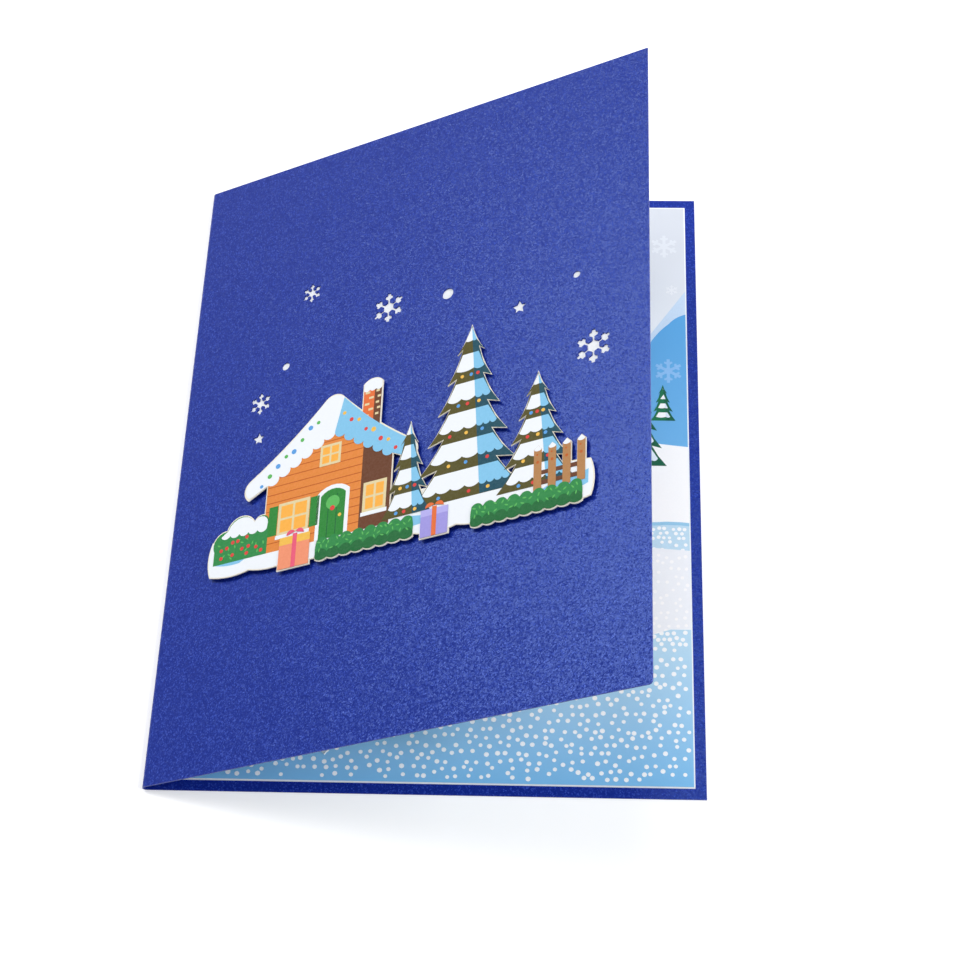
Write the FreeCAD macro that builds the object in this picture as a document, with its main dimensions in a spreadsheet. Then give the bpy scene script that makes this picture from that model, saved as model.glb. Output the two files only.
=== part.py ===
import FreeCAD, Part
import math
import os
import Sketcher

V = FreeCAD.Vector

# A pop up card lying on its back panel, with its front panel half raised. Millimetres.
# Each piece is drawn with x measured from the spine edge and y from the bottom edge of the card,
# and its Placement then centres the card on the origin, with its back panel on z = 0.
SIZES = {
    "card_width": 150,
    "card_height": 200,
    "card_thickness": 0.4,
    "opening_angle": 27,
    "fold_radius": 0.8,
    "worn_corner_radius": 1.2,
    "liner_thickness": 0.25,
    "liner_margin": 3,
    "liner_fold_radius": 1.2,
    "window_arm_width": 0.7,
    "window_lobe_share": 0.2,
    "window_star_waist": 0.5,
    "foam_thickness": 1,
    "foam_length": 9,
    "foam_width": 5,
    "scene_thickness": 0.35,
    "ground_left": 16.2,
    "ground_right": 133.8,
    "ground_left_foot": 58.8,
    "ground_right_foot": 55.5,
    "ground_left_top": 69.9,
    "ground_right_top": 66.6,
    "ground_dip": 0.8,
    "scallop_rise": 0.9,
    "cabin_left": 33,
    "cabin_width": 41,
    "cabin_floor": 62,
    "cabin_wall_top": 84,
    "cabin_ridge": 108.5,
    "cabin_eave_overhang": 6,
    "roof_snow_depth": 3.2,
    "chimney_centre": 66,
    "chimney_width": 6.4,
    "chimney_top": 111,
    "tall_fir_centre": 97,
    "tall_fir_foot": 64,
    "tall_fir_height": 55.5,
    "tall_fir_half_width": 17.5,
    "middle_fir_centre": 118,
    "middle_fir_foot": 62,
    "middle_fir_height": 36,
    "middle_fir_half_width": 12,
    "small_fir_centre": 79,
    "small_fir_foot": 63,
    "small_fir_height": 30,
    "small_fir_half_width": 8,
    "bush_left": 16.8,
    "bush_right": 35,
    "bush_foot": 62,
    "bush_top": 77,
    "gift_bow": 3.2,
    "gift_one_size": 10.5,
    "gift_one_centre": 44,
    "gift_one_foot": 55.6,
    "gift_two_size": 8.9,
    "gift_two_centre": 88,
    "gift_two_foot": 54.6,
    "hedge_lump": 3.6,
    "hedge_height": 6,
    "near_hedge_left": 51,
    "near_hedge_right": 81.5,
    "near_hedge_foot": 56.2,
    "far_hedge_left": 99,
    "far_hedge_right": 131.5,
    "far_hedge_foot": 54.6,
    "scene_picket_right": 132.4,
    "scene_picket_foot": 60.5,
    "scene_picket_width": 2.6,
    "scene_picket_pitch": 4.2,
    "scene_picket_rail": 6.3,
    "scene_picket_height": 14,
    "popup_thickness": 0.3,
    "crease_radius": 0.15,
    "crest_clearance": 0.1,
    "glue_tab": 9,
    "popup_edge_slope": 2,
    "firs_reach": 30,
    "firs_bottom": 9,
    "firs_mound": 26,
    "firs_trunk_foot": 31,
    "firs_trunk_top": 40,
    "firs_top": 178,
    "firs_skirt": 25,
    "firs_trunk": 3.4,
    "branch_tip_place": 8,
    "branch_tip_width": 6,
    "branch_tip_drop": 2.6,
    "branch_tip_root": 0.5,
    "cottage_reach": 52,
    "cottage_bottom": 17,
    "cottage_hedge": 38,
    "cottage_hedge_rise": 5,
    "cottage_half_width": 39,
    "cottage_wall_top": 86,
    "cottage_overhang": 6,
    "cottage_eave_depth": 8,
    "cottage_top": 126,
    "cottage_window_width": 11,
    "cottage_window_height": 14,
    "cottage_window_sill": 64,
    "cottage_bar": 1.6,
    "fence_reach": 68,
    "fence_bottom": 20,
    "fence_rail_top": 46,
    "fence_top": 56,
    "fence_rail_height": 4,
    "fence_kerb": 7,
    "picket_width": 5.2,
    "picket_gap": 3.6,
}

# Cut outs of the front panel: distance from the spine, height above the bottom edge, radius.
SNOWFLAKES = (
    (41.3, 148.9, 3.2),
    (68.3, 135.2, 5.0),
    (133.5, 102.2, 5.4),
    (26.7, 114.3, 3.6),
)
STARS = (
    (110.8, 121.9, 2.3),
    (27.3, 102.2, 2.1),
)
DOTS = (
    (87.8, 133.8, 1.8),
    (128.3, 127.3, 1.1),
    (34.4, 125.0, 1.3),
)

# A snowflake's arm: where it leaves the hub and where its lobes start, as shares of the radius,
# then the corners of its lobes as shares of the radius and of the lobe's half width.
FLAKE_ARMS = 6
FLAKE_HUB_SHARE = 0.34
FLAKE_ARM_SHARE = 0.54
FLAKE_LOBE_CORNERS = (
    (0.62, 1.25),
    (0.82, 1.25),
    (0.84, 0.6),
    (1, 0.5),
)
STAR_TIPS = 5

# Firs: how many tiers each has, and shares of a tier's height or width that shape its edge.
TALL_FIR_TIERS = 6
MIDDLE_FIR_TIERS = 5
SMALL_FIR_TIERS = 4
POPUP_FIR_TIERS = 7
FIR_TAPER = 0.6
FIR_NOTCH = 0.62
FIR_DROOP = 0.14
FIR_SAG = 0.05
POPUP_FIR_NOTCH = 0.55
POPUP_TRUNK_FLARE = 1.5
POPUP_SKIRT_SAG = 0.6
POPUP_EDGE_SWELL = 0.8
POPUP_ROOF_SAG = 1.4

# The bush as shares of its width and height, each with the bulge of the stretch before it.
BUSH_CORNERS = (
    (0, 0, 0),
    (1, 0, 0),
    (1, 0.7, 0),
    (0.72, 0.78, 0.12),
    (0.22, 0.72, 0.18),
    (0, 0.3, 0.12),
)

# Bulges of a hedge's lumps, as shares of a lump's width.
HEDGE_FOOT_SWELL = 0.16
HEDGE_TOP_SWELL = 0.28
HEDGE_END_SWELL = 0.1

GROUND_SCALLOPS = 9
GROUND_SWELL = 1.4
GROUND_END_SWELL = 1
SCENE_PICKETS = 4
PICKET_POINT = 0.6

# How far the outlines of waste run past the edges of the sheet that they are cut from.
BEYOND = 2

# The angle of a turned plane or piece until the sheet's expression sets it.
FIRST_ANGLE = 10

# Centres of the foam pads under the raised winter scene.
FOAM_CENTRES = (
    (24, 64),
    (44, 72),
    (62, 78),
    (82, 68),
    (97, 84),
    (112, 66),
    (127, 61),
)

# Lengths and places that follow from the sizes, written for the sheet.
FOLD_OUTER = "(Dims.fold_radius + Dims.card_thickness)"
HALF_TAN = "tan(Dims.opening_angle / 2)"
LINER_SHIFT = f"((Dims.liner_fold_radius - Dims.fold_radius) / {HALF_TAN})"
PAGE = "(Dims.card_thickness + Dims.liner_thickness)"
POPUP_RADIUS = "(Dims.crease_radius + Dims.popup_thickness / 2)"
PAGE_SETBACK = f"({POPUP_RADIUS} * {HALF_TAN})"
CREST_SETBACK = f"({POPUP_RADIUS} / {HALF_TAN})"
POPUP_APEX = (
    f"({FOLD_OUTER} - (Dims.fold_radius - Dims.liner_thickness - Dims.popup_thickness / 2)"
    f" / {HALF_TAN})"
)
POPUP_MIDDLE = f"({PAGE} + Dims.popup_thickness / 2)"
THROUGH_CARD = "(Dims.card_thickness * 3)"
THROUGH_POPUP = "(Dims.popup_thickness * 2)"

doc = FreeCAD.newDocument("pop_up_card")
sheet = doc.addObject("Spreadsheet::Sheet", "Dims")
for row, (alias, size) in enumerate(SIZES.items(), start=1):
    sheet.set(f"A{row}", alias)
    sheet.set(f"B{row}", str(size))
    sheet.setAlias(f"B{row}", alias)
doc.recompute()


def number(expression):
    """The value of an expression of the sheet."""
    return float(sheet.evalExpression(expression))


def size(alias):
    return float(sheet.get(alias))


def origin_plane(body, role):
    return next(item for item in body.Origin.OriginFeatures if item.Role == role)


def new_body(label):
    body = doc.addObject("PartDesign::Body", label)
    body.Label = label
    return body


def place_on_table(body):
    """Centre a piece that is drawn from the card's bottom corner on the spine."""
    body.setExpression("Placement.Base.x", "-Dims.card_width / 2")
    body.setExpression("Placement.Base.y", "-Dims.card_height / 2")


def bind(sketch, constraint, name, expression):
    index = sketch.addConstraint(constraint)
    sketch.renameConstraint(index, name)
    sketch.setExpression(f"Constraints.{name}", expression)


def unit(angle):
    return V(math.cos(angle), math.sin(angle), 0)


def fold_sketch(body, name, level, anchor, runs, turn, inner_radius, thickness):
    """Section of a folded sheet: flat runs joined by round creases, of one thickness.

    anchor is where the right hand face of the first run starts, runs hold a length and a heading
    each, and turn is 1 where the creases turn left and -1 where they turn right.
    """
    sketch = body.newObject("Sketcher::SketchObject", name)
    sketch.AttachmentSupport = [(origin_plane(body, "XZ_Plane"), "")]
    sketch.MapMode = "FlatFace"
    sketch.setExpression("AttachmentOffset.Base.z", f"-({level})")
    gap = number(thickness)
    radius = number(inner_radius)
    place = V(number(anchor[0]), number(anchor[1]), 0)
    rights = []
    lefts = []
    right_arcs = []
    left_arcs = []
    right_radius = radius + gap if turn > 0 else radius
    left_radius = radius if turn > 0 else radius + gap
    for index, (length, heading) in enumerate(runs):
        angle = math.radians(number(heading))
        side = unit(angle + math.pi / 2)
        end = place + unit(angle) * number(length)
        rights.append(sketch.addGeometry(Part.LineSegment(place, end)))
        lefts.append(sketch.addGeometry(Part.LineSegment(place + side * gap, end + side * gap)))
        if index + 1 == len(runs):
            break
        centre = end + side * turn * right_radius
        after = math.radians(number(runs[index + 1][1]))
        sweep = sorted((angle - turn * math.pi / 2, after - turn * math.pi / 2))
        for arcs, arc_radius in ((right_arcs, right_radius), (left_arcs, left_radius)):
            circle = Part.Circle(centre, V(0, 0, 1), arc_radius)
            arcs.append(sketch.addGeometry(Part.ArcOfCircle(circle, *sweep)))
        place = centre + unit(after - turn * math.pi / 2) * right_radius
    tail = side * gap
    start = sketch.addGeometry(Part.LineSegment(
        sketch.Geometry[rights[0]].StartPoint, sketch.Geometry[lefts[0]].StartPoint))
    finish = sketch.addGeometry(Part.LineSegment(end, end + tail))

    first, last = (1, 2) if turn > 0 else (2, 1)
    for lines, arcs in ((rights, right_arcs), (lefts, left_arcs)):
        for index, arc in enumerate(arcs):
            sketch.addConstraint(Sketcher.Constraint("Tangent", lines[index], 2, arc, first))
            sketch.addConstraint(Sketcher.Constraint("Tangent", arc, last, lines[index + 1], 1))
    for cap, end_run, point in ((start, 0, 1), (finish, -1, 2)):
        sketch.addConstraint(Sketcher.Constraint("Coincident", cap, 1, rights[end_run], point))
        sketch.addConstraint(Sketcher.Constraint("Coincident", cap, 2, lefts[end_run], point))
        sketch.addConstraint(Sketcher.Constraint("Perpendicular", cap, rights[end_run]))
        sketch.addConstraint(Sketcher.Constraint("Parallel", rights[end_run], lefts[end_run]))
    outer_radius = f"({inner_radius}) + ({thickness})"
    right_size, left_size = (outer_radius, inner_radius) if turn > 0 else (inner_radius, outer_radius)
    for index, (right_arc, left_arc) in enumerate(zip(right_arcs, left_arcs)):
        sketch.addConstraint(Sketcher.Constraint("Coincident", right_arc, 3, left_arc, 3))
        bind(sketch, Sketcher.Constraint("Radius", right_arc, right_radius),
             f"crease_right_{index}", right_size)
        bind(sketch, Sketcher.Constraint("Radius", left_arc, left_radius),
             f"crease_left_{index}", left_size)
    for index, (length, heading) in enumerate(runs):
        bind(sketch, Sketcher.Constraint("Distance", rights[index], number(length)),
             f"run_{index}", length)
        if number(heading) % 180 == 0:
            sketch.addConstraint(Sketcher.Constraint("Horizontal", rights[index]))
        else:
            bind(sketch, Sketcher.Constraint("Angle", rights[index], math.radians(number(heading))),
                 f"heading_{index}", heading)
    bind(sketch, Sketcher.Constraint("DistanceX", -1, 1, rights[0], 1, number(anchor[0])),
         "anchor_x", anchor[0])
    bind(sketch, Sketcher.Constraint("DistanceY", -1, 1, rights[0], 1, number(anchor[1])),
         "anchor_z", anchor[1])
    return sketch


def pad(body, sketch, name, length, reverse=False):
    feature = body.newObject("PartDesign::Pad", name)
    feature.Profile = sketch
    feature.Reversed = reverse
    feature.setExpression("Length", length)
    feature.Refine = True
    doc.recompute()
    return feature


def cut(body, sketch, name, depth):
    """Cut a sketch through the sheet on both sides of its plane."""
    before = body.Shape.Volume
    feature = body.newObject("PartDesign::Pocket", name)
    feature.Profile = sketch
    feature.SideType = "Symmetric"
    feature.setExpression("Length", depth)
    feature.Refine = True
    doc.recompute()
    if not body.Shape.Volume < before:
        raise RuntimeError(f"{name} removes nothing")
    return feature


def outline_sketch(body, name, outlines, base=("0", "0", "0"), angle="0"):
    """A sketch of closed outlines, on a plane turned about the y axis through base.

    A point is x, y, or x, y and how far the stretch that leads to it bulges to its right.
    """
    sketch = body.newObject("Sketcher::SketchObject", name)
    sketch.AttachmentSupport = [(origin_plane(body, "XY_Plane"), "")]
    sketch.MapMode = "FlatFace"
    turned = FreeCAD.Rotation(V(0, 1, 0), FIRST_ANGLE)
    sketch.AttachmentOffset = FreeCAD.Placement(V(0, 0, 0), turned)
    for axis, place in zip("xyz", base):
        sketch.setExpression(f"AttachmentOffset.Base.{axis}", place)
    sketch.setExpression("AttachmentOffset.Rotation.Angle", angle)
    for outline in outlines:
        sketch.addGeometry(closed_outline(outline))
    return sketch


def closed_outline(points):
    edges = []
    for index, point in enumerate(points):
        start = V(points[index - 1][0], points[index - 1][1], 0)
        end = V(point[0], point[1], 0)
        bulge = point[2] if len(point) > 2 else 0
        edges.append(bulged_edge(start, end, bulge) if bulge else Part.LineSegment(start, end))
    return edges


def bulged_edge(start, end, bulge):
    chord = end - start
    right = V(chord.y, -chord.x, 0).normalize()
    radius = (chord.Length ** 2 / 4 + bulge ** 2) / (2 * abs(bulge))
    centre = (start + end) / 2 + right * (bulge - math.copysign(radius, bulge))
    first, last = (start, end) if bulge > 0 else (end, start)
    sweep = [math.atan2(point.y - centre.y, point.x - centre.x) for point in (first, last)]
    return Part.ArcOfCircle(Part.Circle(centre, V(0, 0, 1), radius), *sweep)


def mirrored(points, centre):
    """The right hand half of an outline, from foot to tip, and its mirror back to the foot."""
    flipped = []
    for index in range(len(points) - 1, 0, -1):
        bulge = points[index][2] if len(points[index]) > 2 else 0
        flipped.append((2 * centre - points[index - 1][0], points[index - 1][1], bulge))
    return points + flipped


def snowflake(centre_x, centre_y, radius):
    """Six straight arms that each end in three blunt lobes."""
    arm = size("window_arm_width") / 2
    lobe = size("window_lobe_share") * radius
    # each stop is a distance along the arm and one beside it
    left_half = [(share * radius, arm) for share in (FLAKE_HUB_SHARE, FLAKE_ARM_SHARE)]
    left_half += [(along * radius, beside * lobe) for along, beside in FLAKE_LOBE_CORNERS]
    stops = [(along, -beside) for along, beside in left_half] + left_half[::-1]
    points = []
    for turn in range(FLAKE_ARMS):
        heading = 2 * math.pi * turn / FLAKE_ARMS + math.pi / 2
        ahead = unit(heading)
        left = unit(heading + math.pi / 2)
        for along, beside in stops:
            point = V(centre_x, centre_y, 0) + ahead * along + left * beside
            points.append((point.x, point.y))
    return points


def star(centre_x, centre_y, radius):
    """A small five pointed star."""
    points = []
    for turn in range(2 * STAR_TIPS):
        reach = radius * (size("window_star_waist") if turn % 2 else 1)
        tip = V(centre_x, centre_y, 0) + unit(math.pi * turn / STAR_TIPS + math.pi / 2) * reach
        points.append((tip.x, tip.y))
    return points


def dot(centre_x, centre_y, radius):
    return [(centre_x - radius, centre_y, radius), (centre_x + radius, centre_y, radius)]


def fir(centre, foot, height, half_width, tiers):
    """A fir of drooping tiers, widest at its foot."""
    step = height / tiers
    droop = FIR_DROOP * step
    points = []
    for tier in range(tiers):
        tip = half_width * (1 - tier / (tiers + FIR_TAPER))
        next_tip = half_width * (1 - (tier + 1) / (tiers + FIR_TAPER))
        level = foot + tier * step
        points.append((centre + tip, level))
        if tier + 1 < tiers:
            points.append((centre + FIR_NOTCH * next_tip, level + step + droop, -FIR_SAG * step))
    points.append((centre, foot + height, -FIR_SAG * step))
    return mirrored(points, centre)


def cabin():
    """The cabin's gable wall under a roof deep in snow, with its chimney."""
    left = size("cabin_left")
    right = left + size("cabin_width")
    middle = (left + right) / 2
    floor = size("cabin_floor")
    eave = size("cabin_wall_top")
    ridge = size("cabin_ridge")
    overhang = size("cabin_eave_overhang")
    snow = size("roof_snow_depth")
    return [
        (left, floor),
        (right, floor),
        (right, eave),
        (right + overhang, eave - snow),
        (right + overhang, eave + snow, snow / 2),
        (middle + snow, ridge - snow / 3, -snow / 4),
        (middle - snow, ridge - snow / 3, snow / 2),
        (left - overhang, eave + snow, -snow / 4),
        (left - overhang, eave - snow, snow / 2),
        (left, eave),
    ]


def chimney():
    half = size("chimney_width") / 2
    centre = size("chimney_centre")
    top = size("chimney_top")
    foot = size("cabin_wall_top")
    return [
        (centre - half, foot),
        (centre + half, foot),
        (centre + half, top - half / 2),
        (centre - half, top - half / 2, half / 2),
    ]


def ground():
    """A long snow drift with a scalloped lower edge."""
    left = size("ground_left")
    right = size("ground_right")
    left_foot = size("ground_left_foot")
    right_foot = size("ground_right_foot")
    points = [(left, left_foot, GROUND_END_SWELL)]
    for index in range(1, GROUND_SCALLOPS + 1):
        share = index / GROUND_SCALLOPS
        points.append((left + (right - left) * share,
                       left_foot + (right_foot - left_foot) * share,
                       size("scallop_rise")))
    top_left = size("ground_left_top")
    top_right = size("ground_right_top")
    dip = size("ground_dip")
    third = (right - left) / 3
    points.append((right, top_right, GROUND_END_SWELL))
    points.append((right - third, top_right - dip, GROUND_SWELL))
    points.append((left + third, top_left - dip, -GROUND_SWELL))
    points.append((left, top_left, GROUND_SWELL))
    return points


def bush():
    left = size("bush_left")
    width = size("bush_right") - left
    foot = size("bush_foot")
    rise = size("bush_top") - foot
    return [(left + across * width, foot + up * rise, bulge * width)
            for across, up, bulge in BUSH_CORNERS]


def hedge(left, right, foot, top):
    """A clipped hedge, lumpy above and below."""
    lumps = max(2, round((right - left) / size("hedge_lump")))
    step = (right - left) / lumps
    points = [(left, foot, HEDGE_END_SWELL * step)]
    for index in range(1, lumps + 1):
        points.append((left + index * step, foot, HEDGE_FOOT_SWELL * step))
    points.append((right, top, HEDGE_END_SWELL * step))
    for index in range(lumps - 1, -1, -1):
        points.append((left + index * step, top, HEDGE_TOP_SWELL * step))
    return points


def gift(centre, foot, edge):
    """A wrapped box with a two looped bow on its lid."""
    half = edge / 2
    bow = size("gift_bow")
    lid = foot + edge
    return [
        (centre - half, foot),
        (centre + half, foot),
        (centre + half, lid),
        (centre + bow, lid),
        (centre, lid + bow / 4, bow / 2),
        (centre - bow, lid, bow / 2),
        (centre - half, lid),
    ]


def pickets():
    """A short run of pointed pickets over one rail, drawn from its right hand end."""
    right = size("scene_picket_right")
    foot = size("scene_picket_foot")
    width = size("scene_picket_width")
    pitch = size("scene_picket_pitch")
    top = foot + size("scene_picket_height")
    rail = foot + size("scene_picket_rail")
    left = right - (SCENE_PICKETS - 1) * pitch - width
    points = [(left, foot), (right, foot)]
    for index in range(SCENE_PICKETS):
        edge = right - index * pitch
        points.append((edge, top - width / 2))
        points.append((edge - width / 2, top))
        points.append((edge - width, top - width / 2))
        if index + 1 < SCENE_PICKETS:
            points.append((edge - width, rail))
            points.append((edge - pitch, rail))
    return points


def make_cover():
    """Front and back panels of pearl card, one sheet folded at the spine, with cut out snow."""
    body = new_body("cover")
    flat = f"Dims.card_width - {FOLD_OUTER}"
    section = fold_sketch(body, "cover_section", "0", ("Dims.card_width", "Dims.card_thickness"),
                          ((flat, "180"), (flat, "Dims.opening_angle")), -1,
                          "Dims.fold_radius", "Dims.card_thickness")
    pad(body, section, "cover_sheet", "Dims.card_height", reverse=True)
    middle = "(Dims.fold_radius + Dims.card_thickness / 2)"
    turn = "Dims.opening_angle"
    base = (
        f"{FOLD_OUTER} - {FOLD_OUTER} * cos({turn}) - {middle} * sin({turn})",
        "0",
        f"{FOLD_OUTER} - {FOLD_OUTER} * sin({turn}) + {middle} * cos({turn})",
    )
    windows = [snowflake(*place) for place in SNOWFLAKES]
    windows += [star(*place) for place in STARS]
    windows += [dot(*place) for place in DOTS]
    sketch = outline_sketch(body, "window_outlines", windows, base, f"-{turn}")
    windowed = cut(body, sketch, "windows", THROUGH_CARD)
    sheet_corner = V(number(base[0]), 0, number(base[2])) + unit_in_section() * size("card_width")
    edge = nearest_edge(windowed.Shape, sheet_corner)
    rounding = body.newObject("PartDesign::Fillet", "worn_corner")
    rounding.Base = (windowed, [edge])
    rounding.setExpression("Radius", "Dims.worn_corner_radius")
    doc.recompute()
    place_on_table(body)
    return body


def unit_in_section():
    angle = math.radians(size("opening_angle"))
    return V(math.cos(angle), 0, math.sin(angle))


def nearest_edge(shape, point):
    """The name of the edge whose middle is nearest to a point."""
    def distance(index):
        edge = shape.Edges[index]
        middle = edge.valueAt((edge.FirstParameter + edge.LastParameter) / 2)
        return middle.distanceToPoint(point)
    return f"Edge{min(range(len(shape.Edges)), key=distance) + 1}"


def make_liner():
    """The printed inner sheet, glued to both panels with an even margin."""
    body = new_body("liner")
    flat = f"Dims.card_width - Dims.liner_margin - {FOLD_OUTER} - {LINER_SHIFT}"
    section = fold_sketch(body, "liner_section", "Dims.liner_margin",
                          ("Dims.card_width - Dims.liner_margin", PAGE),
                          ((flat, "180"), (flat, "Dims.opening_angle")), -1,
                          "Dims.liner_fold_radius - Dims.liner_thickness", "Dims.liner_thickness")
    pad(body, section, "liner_sheet", "Dims.card_height - 2 * Dims.liner_margin", reverse=True)
    place_on_table(body)
    return body


def place_on_front(item, lift, across="0", along="0"):
    """Lay a flat piece on the front panel, lifted off it by a distance."""
    turn = "Dims.opening_angle"
    height = f"({FOLD_OUTER} + {lift})"
    reach = f"({across} - {FOLD_OUTER})"
    item.Placement = FreeCAD.Placement(V(0, 0, 0), FreeCAD.Rotation(V(0, -1, 0), FIRST_ANGLE))
    item.setExpression("Placement.Rotation.Angle", turn)
    item.setExpression("Placement.Base.x", f"{FOLD_OUTER} - Dims.card_width / 2"
                                           f" + {reach} * cos({turn}) - {height} * sin({turn})")
    item.setExpression("Placement.Base.y", f"{along} - Dims.card_height / 2")
    item.setExpression("Placement.Base.z", f"{FOLD_OUTER} + {reach} * sin({turn})"
                                           f" + {height} * cos({turn})")


def make_cover_scene():
    """The die cut winter scene that stands off the front panel on foam pads."""
    body = new_body("cover_scene")
    shapes = {
        "ground": ground(),
        "cabin": cabin(),
        "chimney": chimney(),
        "bush": bush(),
        "tall_fir": fir(size("tall_fir_centre"), size("tall_fir_foot"), size("tall_fir_height"),
                        size("tall_fir_half_width"), TALL_FIR_TIERS),
        "middle_fir": fir(size("middle_fir_centre"), size("middle_fir_foot"),
                          size("middle_fir_height"), size("middle_fir_half_width"),
                          MIDDLE_FIR_TIERS),
        "small_fir": fir(size("small_fir_centre"), size("small_fir_foot"),
                         size("small_fir_height"), size("small_fir_half_width"),
                         SMALL_FIR_TIERS),
        "pickets": pickets(),
        "near_hedge": hedge(size("near_hedge_left"), size("near_hedge_right"),
                            size("near_hedge_foot"), size("near_hedge_foot") + size("hedge_height")),
        "far_hedge": hedge(size("far_hedge_left"), size("far_hedge_right"),
                           size("far_hedge_foot"), size("far_hedge_foot") + size("hedge_height")),
        "gift_one": gift(size("gift_one_centre"), size("gift_one_foot"), size("gift_one_size")),
        "gift_two": gift(size("gift_two_centre"), size("gift_two_foot"), size("gift_two_size")),
    }
    for name, outline in shapes.items():
        sketch = outline_sketch(body, f"{name}_outline", [outline])
        pad(body, sketch, f"scene_{name}", "Dims.scene_thickness")
    place_on_front(body, "Dims.foam_thickness")
    return body


def make_foam_pad(index, centre_x, centre_y):
    pad_box = doc.addObject("Part::Box", f"foam_pad_{index}")
    pad_box.Label = f"foam_pad_{index}"
    pad_box.setExpression("Length", "Dims.foam_length")
    pad_box.setExpression("Width", "Dims.foam_width")
    pad_box.setExpression("Height", "Dims.foam_thickness")
    place_on_front(pad_box, "0", f"({centre_x} - Dims.foam_length / 2)",
                   f"({centre_y} - Dims.foam_width / 2)")
    return pad_box


def popup_sheet(label, reach, bottom, shoulder, top):
    """A folded strip between the pages: two glue tabs and two panels that meet at a crest.

    The crest stands reach along both pages from the spine, so the sheet folds flat with the
    card. The tabs end at the shoulder, and the panels go on to the top.
    """
    body = new_body(label)
    panel = f"{reach} - {PAGE_SETBACK} - {CREST_SETBACK}"
    tab = f"Dims.glue_tab - {PAGE_SETBACK}"
    turn = "Dims.opening_angle"
    whole = ((tab, "0"), (panel, turn), (panel, "180"), (tab, f"180 + {turn}"))
    start = (f"{POPUP_APEX} + {reach} - Dims.glue_tab", PAGE)
    section = fold_sketch(body, f"{label}_tabbed_section", bottom, start, whole, 1,
                          "Dims.crease_radius", "Dims.popup_thickness")
    pad(body, section, f"{label}_tabbed_strip", f"{shoulder} - {bottom}", reverse=True)
    half = "Dims.popup_thickness / 2"
    start = (
        f"{POPUP_APEX} + {reach} + {PAGE_SETBACK} * cos({turn}) + {half} * sin({turn})",
        f"{POPUP_MIDDLE} + {PAGE_SETBACK} * sin({turn}) - {half} * cos({turn})",
    )
    section = fold_sketch(body, f"{label}_upper_section", shoulder, start, whole[1:3], 1,
                          "Dims.crease_radius", "Dims.popup_thickness")
    pad(body, section, f"{label}_upper_strip", f"{top} - {shoulder}", reverse=True)
    place_on_table(body)
    return body


def panel_frame(reach, side):
    """Where a panel's sketches start, at the crest, and how far they turn about the y axis."""
    turn = "Dims.opening_angle"
    crest = (
        f"{POPUP_APEX} + {reach} * (1 + cos({turn}))",
        "0",
        f"{POPUP_MIDDLE} + {reach} * sin({turn})",
    )
    return crest, "180" if side == "upper" else f"180 - {turn}"


def cut_panels(body, reach, outlines, name):
    """Cut the same outlines, measured from the crest, through both panels of a folded strip."""
    for side in ("lower", "upper"):
        crest, angle = panel_frame(reach, side)
        sketch = outline_sketch(body, f"{body.Label}_{name}_{side}_outline", outlines, crest, angle)
        cut(body, sketch, f"{body.Label}_{name}_{side}", THROUGH_POPUP)


def crest_flat():
    """Half the width of the flat left at the top of a crest, just past its rounding."""
    return number(CREST_SETBACK) + size("crest_clearance")


def rectangle(left, bottom, width, height):
    return [(left, bottom), (left + width, bottom), (left + width, bottom + height),
            (left, bottom + height)]


def make_popup_firs():
    """A tall fir with its crest at the fold, on a snow mound glued to both pages."""
    body = popup_sheet("popup_firs", "Dims.firs_reach", "Dims.firs_bottom", "Dims.firs_mound",
                       "Dims.firs_top")
    reach = size("firs_reach")
    mound = size("firs_mound")
    top = size("firs_top")
    skirt = size("firs_skirt")
    trunk = size("firs_trunk")
    trunk_top = size("firs_trunk_top")
    flat = crest_flat()
    step = (top - trunk_top) / POPUP_FIR_TIERS
    waste = [(reach + BEYOND, mound), (reach + BEYOND, top + BEYOND), (flat, top + BEYOND)]
    for tier in range(POPUP_FIR_TIERS, 0, -1):
        width = flat + (skirt - flat) * (1 - (tier - 1) / POPUP_FIR_TIERS)
        notch = flat if tier == POPUP_FIR_TIERS else flat + (width - flat) * POPUP_FIR_NOTCH
        tier_foot = trunk_top + (tier - 1) * step
        waste.append((notch, tier_foot + step))
        waste.append((width, tier_foot, FIR_SAG * step))
    waste.append((trunk, trunk_top + POPUP_TRUNK_FLARE, -POPUP_SKIRT_SAG))
    waste.append((trunk, size("firs_trunk_foot")))
    waste.append((reach - size("popup_edge_slope"), mound, POPUP_EDGE_SWELL))
    cut_panels(body, "Dims.firs_reach", [waste], "edge")

    root = size("firs_bottom") + size("branch_tip_root")
    place = size("branch_tip_place")
    half = size("branch_tip_width") / 2
    tip = [
        (place - half, root),
        (place, size("firs_bottom") - size("branch_tip_drop")),
        (place + half, root),
    ]
    crest, angle = panel_frame("Dims.firs_reach", "lower")
    sketch = outline_sketch(body, "branch_tip_outline", [tip], crest, angle)
    feature = pad(body, sketch, "branch_tip", "Dims.popup_thickness")
    feature.SideType = "Symmetric"
    doc.recompute()
    return body


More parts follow.
